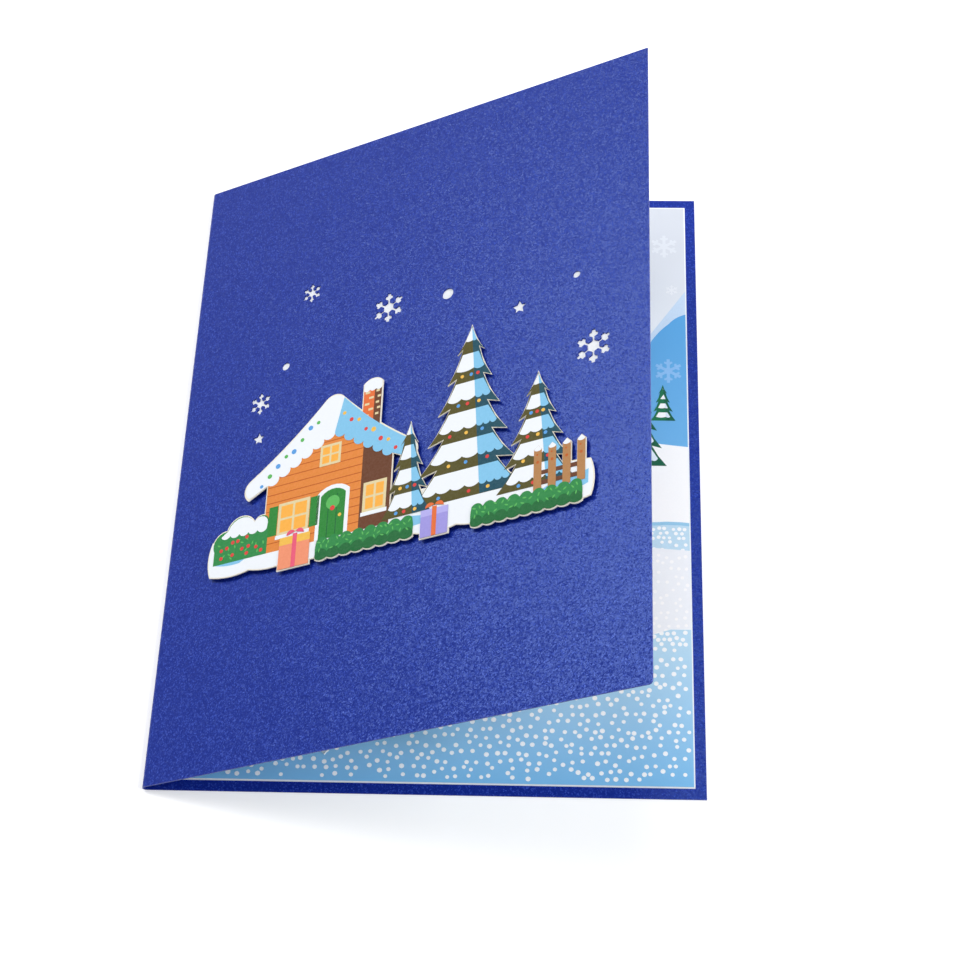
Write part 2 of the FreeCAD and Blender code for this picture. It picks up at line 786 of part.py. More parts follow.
def make_popup_cottage():
    """A cottage with its corner at the crest, a snowy roof, windows and a low hedge."""
    body = popup_sheet("popup_cottage", "Dims.cottage_reach", "Dims.cottage_bottom",
                       "Dims.cottage_hedge", "Dims.cottage_top")
    reach = size("cottage_reach")
    hedge = size("cottage_hedge")
    wall = size("cottage_half_width")
    eave = size("cottage_wall_top")
    roof_edge = wall + size("cottage_overhang")
    drop = size("cottage_eave_depth") / 2
    top = size("cottage_top")
    waste = [
        (reach + BEYOND, hedge),
        (reach + BEYOND, top + BEYOND),
        (crest_flat(), top + BEYOND),
        (crest_flat(), top),
        (roof_edge, eave + drop, POPUP_ROOF_SAG),
        (roof_edge, eave - drop, POPUP_ROOF_SAG),
        (wall, eave),
        (wall, hedge + size("cottage_hedge_rise")),
        (reach - size("popup_edge_slope"), hedge, POPUP_EDGE_SWELL),
    ]
    cut_panels(body, "Dims.cottage_reach", [waste], "edge")
    width = size("cottage_window_width")
    height = size("cottage_window_height")
    bar = size("cottage_bar")
    pane = (width - bar) / 2
    sill = size("cottage_window_sill")
    panes = []
    for left in (wall / 2 - width / 2, wall / 2 + bar / 2):
        for foot in (sill, sill + (height + bar) / 2):
            panes.append(rectangle(left, foot, pane, (height - bar) / 2))
    cut_panels(body, "Dims.cottage_reach", panes, "window")
    return body


def make_popup_fence():
    """A picket fence, nearest to the opening, on a snowy kerb."""
    body = popup_sheet("popup_fence", "Dims.fence_reach", "Dims.fence_bottom",
                       "Dims.fence_rail_top", "Dims.fence_top")
    reach = size("fence_reach")
    rail_top = size("fence_rail_top")
    top = size("fence_top")
    width = size("picket_width")
    gap = size("picket_gap")
    shoulder = top - width * PICKET_POINT
    edge = crest_flat() + width / 2
    waste = [
        (reach + BEYOND, rail_top),
        (reach + BEYOND, top + BEYOND),
        (crest_flat(), top + BEYOND),
        (crest_flat(), top),
        (edge, shoulder),
        (edge, rail_top),
    ]
    gap_foot = size("fence_bottom") + size("fence_kerb")
    gap_height = rail_top - size("fence_rail_height") - gap_foot
    pickets_beside = int((reach - size("popup_edge_slope") - edge) / (width + gap))
    gaps = []
    for picket in range(pickets_beside):
        gap_left = edge + picket * (width + gap)
        left = gap_left + gap
        waste.append((left, rail_top))
        waste.append((left, shoulder))
        waste.append((left + width / 2, top))
        waste.append((left + width, shoulder))
        waste.append((left + width, rail_top))
        gaps.append(rectangle(gap_left, gap_foot, gap, gap_height))
    cut_panels(body, "Dims.fence_reach", [waste], "edge")
    cut_panels(body, "Dims.fence_reach", gaps, "gap")
    return body


pieces = [
    make_cover(),
    make_liner(),
    make_cover_scene(),
    make_popup_firs(),
    make_popup_cottage(),
    make_popup_fence(),
]
for index, (centre_x, centre_y) in enumerate(FOAM_CENTRES, start=1):
    pieces.append(make_foam_pad(index, centre_x, centre_y))
doc.recompute()

for item in doc.Objects:
    if "Invalid" in item.State or "Error" in item.State:
        raise RuntimeError(f"{item.Label} failed: {item.State}")
for piece in pieces:
    if piece.Shape.isNull() or not piece.Shape.isValid():
        raise RuntimeError(f"{piece.Label} has no valid shape")

os.makedirs("parts", exist_ok=True)
for piece in pieces:
    piece.Shape.exportStep(os.path.join("parts", f"{piece.Label}.step"))
    box = piece.Shape.BoundBox
    print(f"{piece.Label:16s} solids {len(piece.Shape.Solids)}  volume {piece.Shape.Volume:9.2f}"
          f"  x {box.XMin:7.2f} {box.XMax:7.2f}  y {box.YMin:7.2f} {box.YMax:7.2f}"
          f"  z {box.ZMin:6.2f} {box.ZMax:6.2f}")
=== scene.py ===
import math
import random

import bmesh
import bpy
from mathutils import Euler, Matrix, Vector


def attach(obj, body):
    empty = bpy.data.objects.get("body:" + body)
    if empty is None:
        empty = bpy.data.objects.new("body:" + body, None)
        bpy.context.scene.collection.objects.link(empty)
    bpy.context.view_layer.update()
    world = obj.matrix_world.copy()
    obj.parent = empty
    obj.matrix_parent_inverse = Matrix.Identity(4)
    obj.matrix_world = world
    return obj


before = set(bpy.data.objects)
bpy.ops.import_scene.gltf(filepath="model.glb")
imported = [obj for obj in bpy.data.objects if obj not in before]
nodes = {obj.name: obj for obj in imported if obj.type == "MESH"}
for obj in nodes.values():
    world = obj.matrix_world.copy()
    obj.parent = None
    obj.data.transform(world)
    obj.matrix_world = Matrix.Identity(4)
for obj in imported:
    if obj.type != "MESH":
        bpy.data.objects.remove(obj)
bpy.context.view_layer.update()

MM = 0.001

# The card, in millimetres: x runs from the spine edge and y from the bottom edge of each panel.
CARD_WIDTH = 150
CARD_HEIGHT = 200
CARD_THICKNESS = 0.4
FOLD_OUTER = 1.2
OPENING = math.radians(27)
LINER_THICKNESS = 0.25
LINER_MARGIN = 3
FOAM_THICKNESS = 1.0
SCENE_THICKNESS = 0.35

# The raised winter scene, as the CAD source cuts it.
GROUND_LEFT = 16.2
GROUND_RIGHT = 133.8
GROUND_SCALLOPS = 9
CABIN_LEFT = 33
CABIN_WIDTH = 41
CABIN_FLOOR = 62
CABIN_EAVE = 84
CABIN_RIDGE = 108.5
CABIN_OVERHANG = 6
ROOF_SNOW = 3.2
CHIMNEY_CENTRE = 66
CHIMNEY_WIDTH = 6.4
CHIMNEY_TOP = 111
FIR_TAPER = 0.6
FIR_NOTCH = 0.62
FIR_DROOP = 0.14
FIR_SAG = 0.05

# Its print stops short of the cut edge, and is shaped by these lengths.
PRINT_EDGE = 0.3
PLANK = 2.6
JOINT_WIDTH = 0.3
DRIP = 1.5
WAVE_WIDTH = 3.2
WAVE_DEPTH = 0.9
LEAF_LENGTH = 1.3
LIGHT_RADIUS = 0.55
FIR_SPLIT = 0.25
SNOW_FOOT_SHARE = 0.42

# The print on the pages: its bare border, its start beside the spine, and its firs as centre,
# foot, height, half width and tiers.
PAGE_BORDER = 0.35
PAGE_LEFT = 4.5
STREWN_TRIES = 12
PAGE_FIRS = (
    (131.5, 103, 36, 9, 6),
    (139.6, 118.5, 12.5, 3.6, 4),
    (116, 112, 22, 6, 5),
    (60, 108, 30, 8, 6),
    (46, 110, 18, 5, 4),
    (86, 106, 14, 4, 4),
)

# The pop ups: where their panels would meet at the spine, and where the crest's rounding ends.
POPUP_THICKNESS = 0.3
POPUP_APEX = -0.466
POPUP_MIDDLE = 0.8
CREASE_MIDDLE = 0.3
CREST_FLAT = 1.35

# Ink lies on the paper in layers, each this much higher than the one below.
INK = 0.012

# A printed snowflake's arm: for each corner, its share of the radius and its half widths aside.
FLAKE_ARM_SHARE = 0.11
FLAKE_CORNERS = ((0.25, -1), (0.55, -1), (0.66, -2.8), (0.8, -2.4), (0.76, -1), (1, -1),
                 (1, 1), (0.76, 1), (0.8, 2.4), (0.66, 2.8), (0.55, 1), (0.25, 1))

# Snowflakes printed on the pages, as centre and radius.
SKY_FLAKES = ((140.5, 182, 4.2), (142.6, 165.5, 1.9), (118, 172, 3.4),
              (92, 184, 4.6), (64, 168, 3.2), (34, 180, 4))
HILL_FLAKES = ((141.3, 136, 4.2), (108, 121, 2.6), (58, 128, 3.4))

# The dotted band of the pages is an arch: its start, foot, crown, middle, fall and lighter rim.
BAND_LEFT = 100
BAND_FOOT = 66
BAND_CROWN = 84.4
BAND_MIDDLE = 141
BAND_FALL = 0.012
BAND_RIM = 1.1

# The dotted field rises by its rise, over its run, from the slope's start.
FIELD_LEVEL = 34
FIELD_RISE = 16
FIELD_SLOPE_START = 112
FIELD_RUN = 26
FIELD_CURVE = 1.4

# Shares of a tier or of a fir's half width, for the places of its lights.
LIGHT_SPREAD = 0.55
LIGHT_JITTER = 0.1
LIGHT_RISE = 0.2
LIT_HALF_WIDTH = 3.2

# The scene's firs as centre, foot, height, half width and tiers, each with its lowest layer.
SCENE_FIRS = (
    ("tall_fir", (97, 64, 55.5, 17.5, 6), 3),
    ("middle_fir", (118, 62, 36, 12, 5), 7),
    ("small_fir", (79, 63, 30, 8, 4), 10),
)

# The cabin's door and windows, from the cabin's left side and floor.
DOOR_LEFT = 18.5
DOOR_WIDTH = 8
DOOR_HEIGHT = 13.6
DOOR_ARCH = 1.8
DOOR_CASING = 1.2
SIDE_WALL_WIDTH = 9.5
GABLE_DROP = 8.5
WINDOWS = ((5.6, 5.5, 8.4, 8.4), (33, 6, 5.6, 7.6))
WINDOW_CASING = 0.9
WINDOW_BAR = 0.7
ATTIC_SIZE = 5.2
ATTIC_CASING = 0.8
ATTIC_BAR = 0.6
SHUTTER_WIDTH = 2.9
BRICK_ROWS = 5
BRICK_PITCH = 1.9
BRICK_HEIGHT = 0.7
BAUBLES = 16

# The bush, the hedges as name, left, right and foot, and the pickets.
BUSH_LEFT = 16.8
BUSH_WIDTH = 18.2
BUSH_FOOT = 62
BUSH_RISE = 15
BUSH_CORNERS = ((0, 0, 0), (1, 0, 0), (1, 0.7, 0), (0.72, 0.78, 0.12), (0.22, 0.72, 0.18),
                (0, 0.3, 0.12))
BERRIES = 12
BERRY_RADIUS = 0.6
HEDGES = (("near", 51, 81.5, 56.2), ("far", 99, 131.5, 54.6))
HEDGE_LUMP = 3.6
HEDGE_HEIGHT = 6
HEDGE_SHADE_HEIGHT = 2.4
PICKETS = 4
PICKET_RIGHT = 132.4
PICKET_PITCH = 4.2
PICKET_WIDTH = 2.6
PICKET_FOOT = 60.5
PICKET_HEIGHT = 14
RAIL_HEIGHT = 1.3
GIFT_BOW = 3.2
GIFT_LID_SHARE = 0.26
GIFT_RIBBON = 1.4

# The pop ups as the CAD source cuts them: reach from the spine, and heights from the bottom edge.
FIRS_REACH = 30
FIRS_TIERS = 7
FIRS_TRUNK_FOOT = 31
FIRS_TRUNK_TOP = 40
FIRS_TOP = 178
FIRS_SKIRT = 25
FIRS_NOTCH = 0.55
TRUNK_WIDTH = 3.4
BRANCH_PLACE = 8
BRANCH_HALF = 2.6
COTTAGE_REACH = 52
COTTAGE_WALL = 38.7
COTTAGE_FOOT = 39
COTTAGE_EAVE = 85
COTTAGE_ROOF = 44
COTTAGE_WINDOW = (12.8, 26.2, 62.8, 79.2)
COTTAGE_HEDGE = (48, 18, 34, 35)
FENCE_REACH = 68
FENCE_PICKETS = 7
FENCE_PITCH = 8.8
FENCE_WIDTH = 5.2
FENCE_GAP = 3.6
FENCE_FOOT = 27.4
FENCE_SHOULDER = 52.6
FENCE_TIP = 55.3
FENCE_RAIL = (42.3, 62, 3.4)
CREST_STEPS = 14

# The studio, in metres, watts and degrees.
FLOOR_SIZE = 1
FLOOR_GLOW = 0.25
FLOOR_SHADE = (0.86, 0.86, 0.86, 1)
AMBIENT_COLOUR = (0.95, 0.97, 1, 1)
AMBIENT_STRENGTH = 0.34
WHITE = (1, 1, 1, 1)
LAMP_TARGET = (0, 0, 0.03)
LAMPS = (
    ("key_lamp", (-0.74, 0.58, 0.9), 0.5, 6.5),
    ("fill_lamp", (1.1, -0.2, 0.9), 0.8, 16),
    ("top_lamp", (-0.16, 0.46, 1.38), 0.6, 6),
)
LENS = 82.2
SENSOR_WIDTH = 36
CAMERA_PLACE = (39.75, -328.7, 540.1)
CAMERA_TURN = (31.21, 1.81, 1.91)

# The pearl coating's flakes, and how far they lean from the sheet.
FLAKES_PER_METRE = 3000
FLAKE_TILT = 0.21
PEARL_SHADES = ((0, (13, 33, 128)), (0.72, (16, 38, 137)), (1, (46, 70, 172)))
PEARL_ROUGHNESS = 0.25
PEARL_GLOSS = 0.5
PEARL_TINT = (0.25, 0.4, 0.85, 1)

# The grain of paper and print: features for each metre, detail, roughness and depth in metres.
PAPER_GRAIN = (900, 4, 0.6)
PRINT_MOTTLE = (1500, 3, 0.6)
PAPER_RELIEF = 0.00002
PRINT_RELIEF = 0.00001
RELIEF_STRENGTH = 0.5
PAPER_GLOSS = 0.08


def colour(red, green, blue):
    """A screen colour of 0 to 255 as the linear colour that a shader takes."""
    def linear(channel):
        share = channel / 255
        return share / 12.92 if share <= 0.04045 else ((share + 0.055) / 1.055) ** 2.4
    return (linear(red), linear(green), linear(blue), 1)


def new_material(name):
    material = bpy.data.materials.new(name)
    material.use_nodes = True
    material.node_tree.nodes.clear()
    return material


def node(material, kind, place=(0, 0), **values):
    item = material.node_tree.nodes.new(kind)
    item.location = place
    for key, value in values.items():
        setattr(item, key, value)
    return item


def link(material, source, target):
    material.node_tree.links.new(source, target)


def noise(material, scale, detail=2, roughness=0.5):
    """A noise texture on object coordinates, with scale in features for each metre."""
    where = node(material, "ShaderNodeTexCoord", (-900, 0))
    texture = node(material, "ShaderNodeTexNoise", (-700, 0))
    texture.inputs["Scale"].default_value = scale
    texture.inputs["Detail"].default_value = detail
    texture.inputs["Roughness"].default_value = roughness
    link(material, where.outputs["Object"], texture.inputs["Vector"])
    return texture


def ramp(material, source, stops):
    item = node(material, "ShaderNodeValToRGB", (-450, 0))
    first, last = item.color_ramp.elements
    first.position, first.color = stops[0]
    last.position, last.color = stops[-1]
    for position, shade in stops[1:-1]:
        item.color_ramp.elements.new(position).color = shade
    link(material, source, item.inputs["Fac"])
    return item


def darker(shade, share):
    return tuple(channel * share for channel in shade[:3]) + (1,)


def lighter(shade, share):
    return tuple(channel + (1 - channel) * share for channel in shade[:3]) + (1,)


def finish_surface(material, colour_output, roughness, bump_output=None,
                   bump_height=PAPER_RELIEF, gloss=PAPER_GLOSS):
    """Close a material: its colour, its roughness and gloss, and the relief of its grain."""
    shader = node(material, "ShaderNodeBsdfPrincipled", (100, 0))
    shader.inputs["Roughness"].default_value = roughness
    shader.inputs["Specular IOR Level"].default_value = gloss
    link(material, colour_output, shader.inputs["Base Color"])
    if bump_output is not None:
        bump = node(material, "ShaderNodeBump", (-150, -300))
        bump.inputs["Strength"].default_value = RELIEF_STRENGTH
        bump.inputs["Distance"].default_value = bump_height
        link(material, bump_output, bump.inputs["Height"])
        link(material, bump.outputs["Normal"], shader.inputs["Normal"])
    out = node(material, "ShaderNodeOutputMaterial", (400, 0))
    link(material, shader.outputs["BSDF"], out.inputs["Surface"])
    return shader


def pearl_card():
    """Royal blue card with a pearl coating: fine flakes that each tilt the gloss a little."""
    material = new_material("pearl_blue_card")
    where = node(material, "ShaderNodeTexCoord", (-1100, 0))
    flakes = node(material, "ShaderNodeTexVoronoi", (-900, -300))
    flakes.inputs["Scale"].default_value = FLAKES_PER_METRE
    link(material, where.outputs["Object"], flakes.inputs["Vector"])
    one_flake = node(material, "ShaderNodeSeparateColor", (-700, -150))
    link(material, flakes.outputs["Color"], one_flake.inputs["Color"])
    stops = [(share, colour(*shade)) for share, shade in PEARL_SHADES]
    tone = ramp(material, one_flake.outputs["Green"], stops)
    facing = tilted_normal(material, flakes.outputs["Color"])
    shader = finish_surface(material, tone.outputs["Color"], PEARL_ROUGHNESS, gloss=PEARL_GLOSS)
    shader.inputs["Specular Tint"].default_value = PEARL_TINT
    link(material, facing, shader.inputs["Normal"])
    return material


def tilted_normal(material, flake_colour):
    """The surface's normal, leaned a little to a side that each flake's colour gives."""
    centred = node(material, "ShaderNodeVectorMath", (-650, -450), operation="SUBTRACT")
    centred.inputs[1].default_value = (0.5, 0.5, 0.5)
    link(material, flake_colour, centred.inputs[0])
    tilt = node(material, "ShaderNodeVectorMath", (-450, -450), operation="SCALE")
    tilt.inputs["Scale"].default_value = FLAKE_TILT
    link(material, centred.outputs["Vector"], tilt.inputs[0])
    surface = node(material, "ShaderNodeNewGeometry", (-650, -650))
    tilted = node(material, "ShaderNodeVectorMath", (-250, -500), operation="ADD")
    link(material, surface.outputs["Normal"], tilted.inputs[0])
    link(material, tilt.outputs["Vector"], tilted.inputs[1])
    facing = node(material, "ShaderNodeVectorMath", (-100, -500), operation="NORMALIZE")
    link(material, tilted.outputs["Vector"], facing.inputs[0])
    return facing.outputs["Vector"]


def plain_paper(name, shade, roughness=0.75):
    """Uncoated paper with a faint cloud of tone and a fibre grain."""
    material = new_material(name)
    cloud = noise(material, *PAPER_GRAIN)
    tone = ramp(material, cloud.outputs["Fac"], (
        (0.3, darker(shade, 0.95)),
        (0.7, lighter(shade, 0.04)),
    ))
    finish_surface(material, tone.outputs["Color"], roughness, cloud.outputs["Fac"])
    return material


def printed_ink(name, shade, variation=0.05, roughness=0.5):
    """A field of ink on card, with the slight mottle of print."""
    material = new_material(name)
    mottle = noise(material, *PRINT_MOTTLE)
    tone = ramp(material, mottle.outputs["Fac"], (
        (0.3, darker(shade, 1 - variation)),
        (0.7, lighter(shade, variation * 0.4)),
    ))
    finish_surface(material, tone.outputs["Color"], roughness, mottle.outputs["Fac"], PRINT_RELIEF)
    return material


def graded_ink(name, low_shade, high_shade, low, high, axis="Y", roughness=0.55):
    """Ink that passes from one shade to another between two places along an axis, in metres."""
    material = new_material(name)
    where = node(material, "ShaderNodeTexCoord", (-1100, 0))
    parts = node(material, "ShaderNodeSeparateXYZ", (-900, 0))
    link(material, where.outputs["Object"], parts.inputs["Vector"])
    share = node(material, "ShaderNodeMapRange", (-700, 0))
    share.inputs["From Min"].default_value = low
    share.inputs["From Max"].default_value = high
    link(material, parts.outputs[axis], share.inputs["Value"])
    tone = ramp(material, share.outputs["Result"], ((0, low_shade), (1, high_shade)))
    mottle = noise(material, *PRINT_MOTTLE)
    finish_surface(material, tone.outputs["Color"], roughness, mottle.outputs["Fac"], PRINT_RELIEF)
    return material


def panel(origin, along, normal):
    """The plane of a sheet: a matrix from millimetres on the sheet to metres in the scene."""
    up = Vector((0, 1, 0))
    matrix = Matrix((along, up, normal)).transposed().to_4x4()
    matrix.translation = Vector(origin) * MM
    return matrix @ Matrix.Scale(MM, 4)


slope = Vector((math.cos(OPENING), 0, math.sin(OPENING)))
front_normal = Vector((-math.sin(OPENING), 0, math.cos(OPENING)))
fold_centre = Vector((FOLD_OUTER - CARD_WIDTH / 2, -CARD_HEIGHT / 2, FOLD_OUTER))
front_face = panel(fold_centre - slope * FOLD_OUTER + front_normal * FOLD_OUTER,
                   slope, front_normal)
scene_face = front_face @ Matrix.Translation((0, 0, FOAM_THICKNESS + SCENE_THICKNESS))
back_page = panel((-CARD_WIDTH / 2, -CARD_HEIGHT / 2, CARD_THICKNESS + LINER_THICKNESS),
                  Vector((1, 0, 0)), Vector((0, 0, 1)))
under_front = FOLD_OUTER - CARD_THICKNESS - LINER_THICKNESS
front_page = panel(fold_centre - slope * FOLD_OUTER + front_normal * under_front,
                   slope, -front_normal)


def traced(points, steps=7):
    """An outline as plain points: x, y and how far the stretch before it bulges to its right."""
    line = []
    for index, point in enumerate(points):
        start = Vector(points[index - 1][:2])
        end = Vector(point[:2])
        bulge = point[2] if len(point) > 2 else 0
        if bulge:
            chord = end - start
            right = Vector((chord.y, -chord.x)).normalized()
            radius = (chord.length_squared / 4 + bulge ** 2) / (2 * abs(bulge))
            centre = (start + end) / 2 + right * (bulge - math.copysign(radius, bulge))
            sweep = 4 * math.atan2(2 * bulge, chord.length)
            for step in range(1, steps):
                turned = Matrix.Rotation(sweep * step / steps, 2) @ (start - centre)
                line.append(centre + turned)
        line.append(end)
    return line


def stamp(name, plane, outlines, ink, layer=1):
    """Print closed outlines on a sheet as one thin piece of ink."""
    shape = bmesh.new()
    for outline in outlines:
        corners = [shape.verts.new((x, y, (layer - 1) * INK)) for x, y in traced(outline)]
        face = shape.faces.new(corners)
        face.normal_update()
        if face.normal.z > 0:
            face.normal_flip()
        raised = bmesh.ops.extrude_face_region(shape, geom=[face], use_keep_orig=True)
        corners = [item for item in raised["geom"] if isinstance(item, bmesh.types.BMVert)]
        bmesh.ops.translate(shape, verts=corners, vec=(0, 0, INK))
    bmesh.ops.recalc_face_normals(shape, faces=shape.faces)
    shape.transform(plane)
    if plane.determinant() < 0:
        bmesh.ops.reverse_faces(shape, faces=shape.faces)
    piece = finished_object(name, shape, ink)
    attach(piece, "root")


def finished_object(name, shape, material):
    """A new object in the scene, with the built shape as its mesh."""
    mesh = bpy.data.meshes.new(name)
    shape.to_mesh(mesh)
    shape.free()
    mesh.materials.append(material)
    item = bpy.data.objects.new(name, mesh)
    bpy.context.scene.collection.objects.link(item)
    return item


def rectangle(left, bottom, width, height):
    return [(left, bottom), (left + width, bottom), (left + width, bottom + height),
            (left, bottom + height)]


def disc(x, y, radius):
    return [(x - radius, y, radius), (x + radius, y, radius)]


def mirrored(points, centre):
    """The right hand half of an outline, from foot to tip, and its mirror back to the foot."""
    flipped = []
    for index in range(len(points) - 1, 0, -1):
        bulge = points[index][2] if len(points[index]) > 2 else 0
        flipped.append((2 * centre - points[index - 1][0], points[index - 1][1], bulge))
    return points + flipped


def dress(names, material):
    for name in names:
        slots = nodes[name].data.materials
        slots.clear()
        slots.append(material)


dress(["cover"], pearl_card())
dress(["liner"], plain_paper("white_liner", colour(240, 243, 246)))
dress(["cover_scene"], plain_paper("cream_core", colour(238, 232, 216)))
dress(["popup_firs", "popup_cottage", "popup_fence"],
      plain_paper("white_card", colour(240, 243, 246)))
dress([name for name in nodes if name.startswith("foam_pad")],
      plain_paper("white_foam", colour(236, 236, 236), 0.9))


def flake(centre_x, centre_y, radius):
    """A printed snowflake: six straight arms with blunt ends, in one outline."""
    points = []
    arm = FLAKE_ARM_SHARE * radius
    for turn in range(6):
        heading = math.pi * turn / 3 + math.pi / 2
        ahead = Vector((math.cos(heading), math.sin(heading)))
        left = Vector((-ahead.y, ahead.x))
        for along, beside in FLAKE_CORNERS:
            place = ahead * along * radius + left * beside * arm
            points.append((centre_x + place.x, centre_y + place.y))
    return points


def scattered_dots(left, right, low, top, pitch, edge_rows, radius, chance):
    """Dots in loose rows: some close rows along the edge that top gives, then level rows."""
    places = []

    def add(x, y, jitter):
        place = Vector((x + chance.uniform(-jitter, jitter), y + chance.uniform(-jitter, jitter)))
        inside = left < place.x < right and low < place.y < top(place.x) - radius
        if inside and all((place - other).length > 2.3 * radius for other in places):
            places.append(place)

    close = 0.6 * pitch
    for row in range(edge_rows):
        for step in range(int((right - left) / close) + 1):
            x = left + (step + row % 2 / 2) * close
            add(x, top(x) - radius - (row + 0.3) * close, 0.16 * close)
    for row in range(int((top(right) - low) / (0.87 * pitch))):
        for step in range(int((right - left) / pitch) + 1):
            add(left + (step + row % 2 / 2) * pitch, low + row * 0.87 * pitch, 0.3 * pitch)
    return [disc(place.x, place.y, radius * chance.uniform(0.85, 1.1)) for place in places]


def strewn(count, left, right, low, high, gap, chance):
    """Places picked at random, each at least a gap from the others."""
    places = []
    for _ in range(count * STREWN_TRIES):
        place = Vector((chance.uniform(left, right), chance.uniform(low, high)))
        if len(places) < count and all((place - other).length > gap for other in places):
            places.append(place)
    return places


def world_y(height):
    """A height above the bottom edge of a page as the object coordinate y, in metres."""
    return (height - CARD_HEIGHT / 2) * MM


def band_top(x):
    """The upper edge of the dotted band, a low arch."""
    return BAND_CROWN - BAND_FALL * (x - BAND_MIDDLE) ** 2


def band_outline(left, right, drop):
    """The dotted band from a left end to the page's right edge, lowered by a drop."""
    crown = [(x, band_top(x) - drop) for x in range(144, 108, -4)]
    return [(left, BAND_FOOT), (right, BAND_FOOT), (right, band_top(right) - drop)] + crown


def field_top(x):
    """The upper edge of the dotted field, which rises to the right."""
    share = min(1, max(0, (x - FIELD_SLOPE_START) / FIELD_RUN))
    return FIELD_LEVEL + FIELD_RISE * share ** FIELD_CURVE


def page_inks():
    """The inks of the pages' view, by the name of what they print."""
    return {
        # The sky and its flakes grow darker towards the top edge: painted shade that offsets the key
        # lamp's light on the top of the pages.
        "sky": graded_ink("sky_ink_painted_shade", colour(233, 237, 243), colour(202, 206, 214),
                          world_y(152), world_y(182)),
        "sky_flakes": graded_ink("sky_flake_ink_painted_shade", colour(243, 245, 249), colour(212, 216, 223),
                                 world_y(152), world_y(182)),
        "far_hill": printed_ink("far_hill_ink", colour(200, 220, 242)),
        "blue_hill": graded_ink("blue_hill_ink", colour(112, 176, 226), colour(94, 166, 222),
                                world_y(105), world_y(155)),
        "snow": printed_ink("page_snow_ink", colour(250, 249, 250), 0.02),
        "pale_snow": printed_ink("pale_snow_ink", colour(238, 240, 245), 0.02),
        "band": printed_ink("band_ink", colour(190, 219, 238)),
        "band_edge": printed_ink("band_edge_ink", colour(150, 200, 230)),
        "field": graded_ink("dotted_field_ink", colour(124, 187, 232), colour(184, 217, 238),
                            world_y(3), world_y(46)),
        "dots": printed_ink("snow_dot_ink", colour(247, 248, 250), 0.02),
        "hill_flakes": printed_ink("hill_flake_ink", colour(140, 190, 238)),
        "left": printed_ink("page_fir_ink", colour(26, 112, 74)),
        "right": printed_ink("page_fir_shade_ink", colour(20, 92, 66)),
        "snow_shade": printed_ink("page_fir_snow_ink", colour(222, 234, 246)),
    }


def page_land(left, right, low, high):
    """The sky, hills and snow of a page, as name, outlines and layer."""
    return (
        ("sky", [rectangle(left, low, right - left, high - low)], 1),
        ("sky_flakes", [flake(*place) for place in SKY_FLAKES], 2),
        ("far_hill", [[(left, 104), (right, 104), (right, 165), (136, 149), (122, 140, 1.5),
                       (96, 138, 2), (52, 150, 3), (left, 138, 3)]], 2),
        ("blue_hill", [[(left, 96), (right, 96), (right, 156.5), (141.6, 153, 0.5),
                        (136, 146, 0.4), (92, 126, -3), (44, 136, 4), (left, 120, 3)]], 3),
        ("hill_flakes", [flake(*place) for place in HILL_FLAKES], 4),
        ("snow", [[(left, low), (right, low), (right, 109.5), (112, 115.5, -0.6), (78, 110, 2),
                   (40, 113, -1), (left, 104, 2)]], 4),
    )


def page_drifts(left, right, low, chance):
    """The dotted band, the pale snow and the dotted field, as outlines and their inks."""
    edge = [(x, field_top(x)) for x in (right, 141, 136, 130, 124, 118, 112)]
    return (
        ("band_edge", "band_edge", [band_outline(BAND_LEFT, right, 0)], 13),
        ("band", "band", [band_outline(BAND_LEFT + 2, right, BAND_RIM)], 14),
        ("band_dots", "dots", scattered_dots(112, right - 0.8, 73, lambda x: band_top(x) - 1.3,
                                             2.4, 3, 0.55, chance), 15),
        ("pale_snow", "pale_snow", [[(left, low), (right, low), (right, 75), (104, 79.5, -0.4),
                                     (left, 66, 2)]], 16),
        ("pale_dots", "snow", scattered_dots(92, right - 0.8, 36, lambda x: 77 - 0.1 * (x - 128),
                                             2.5, 0, 0.5, chance), 17),
        ("field", "field", [[(left, low), (right, low)] + edge + [(60, 38, 2), (left, 34, 2)]], 18),
        ("dots", "dots", scattered_dots(left + 1, right - 0.9, low + 1.4, field_top, 2.8, 3, 0.64,
                                        chance), 19),
    )


def print_pages():
    """A pale winter view on both pages of the liner: sky, hills, firs, snow and a dotted field."""
    right = CARD_WIDTH - LINER_MARGIN - PAGE_BORDER
    low = LINER_MARGIN + PAGE_BORDER
    high = CARD_HEIGHT - LINER_MARGIN - PAGE_BORDER
    inks = page_inks()
    tree_inks = {name: inks[name] for name in ("left", "right", "snow", "snow_shade")}
    for page_name, page in (("back", back_page), ("front", front_page)):
        for name, outlines, layer in page_land(PAGE_LEFT, right, low, high):
            stamp(f"{page_name}_page_{name}", page, outlines, inks[name], layer)
        for index, place in enumerate(PAGE_FIRS):
            print_fir(f"{page_name}_page_fir_{index}", page, place, 5 + index % 2 * 3, tree_inks,
                      "printed_liner")
        chance = random.Random(11)
        for name, ink, outlines, layer in page_drifts(PAGE_LEFT, right, low, chance):
            stamp(f"{page_name}_page_{name}", page, outlines, inks[ink], layer)


def inset(points, distance, steps=7):
    """An outline moved inward by a distance, with its arcs as short straights."""
    line = traced(points, steps)
    turns = zip(line[-1:] + line[:-1], line, line[1:] + line[:1])
    area = sum(start.x * end.y - end.x * start.y for start, end in zip(line, line[1:] + line[:1]))
    inward = math.copysign(distance, area)
    moved = []
    for before, here, after in turns:
        first = Vector((before.y - here.y, here.x - before.x)).normalized()
        second = Vector((here.y - after.y, after.x - here.x)).normalized()
        corner = first + second
        moved.append(here + corner * inward / max(corner.dot(first), 0.5))
    return moved


def waves(start, end, count, bulge):
    """Points from start to end, each reached by a stretch that bulges to the right of travel."""
    points = []
    for index in range(1, count + 1):
        share = index / count
        points.append((start[0] + (end[0] - start[0]) * share,
                       start[1] + (end[1] - start[1]) * share, bulge))
    return points


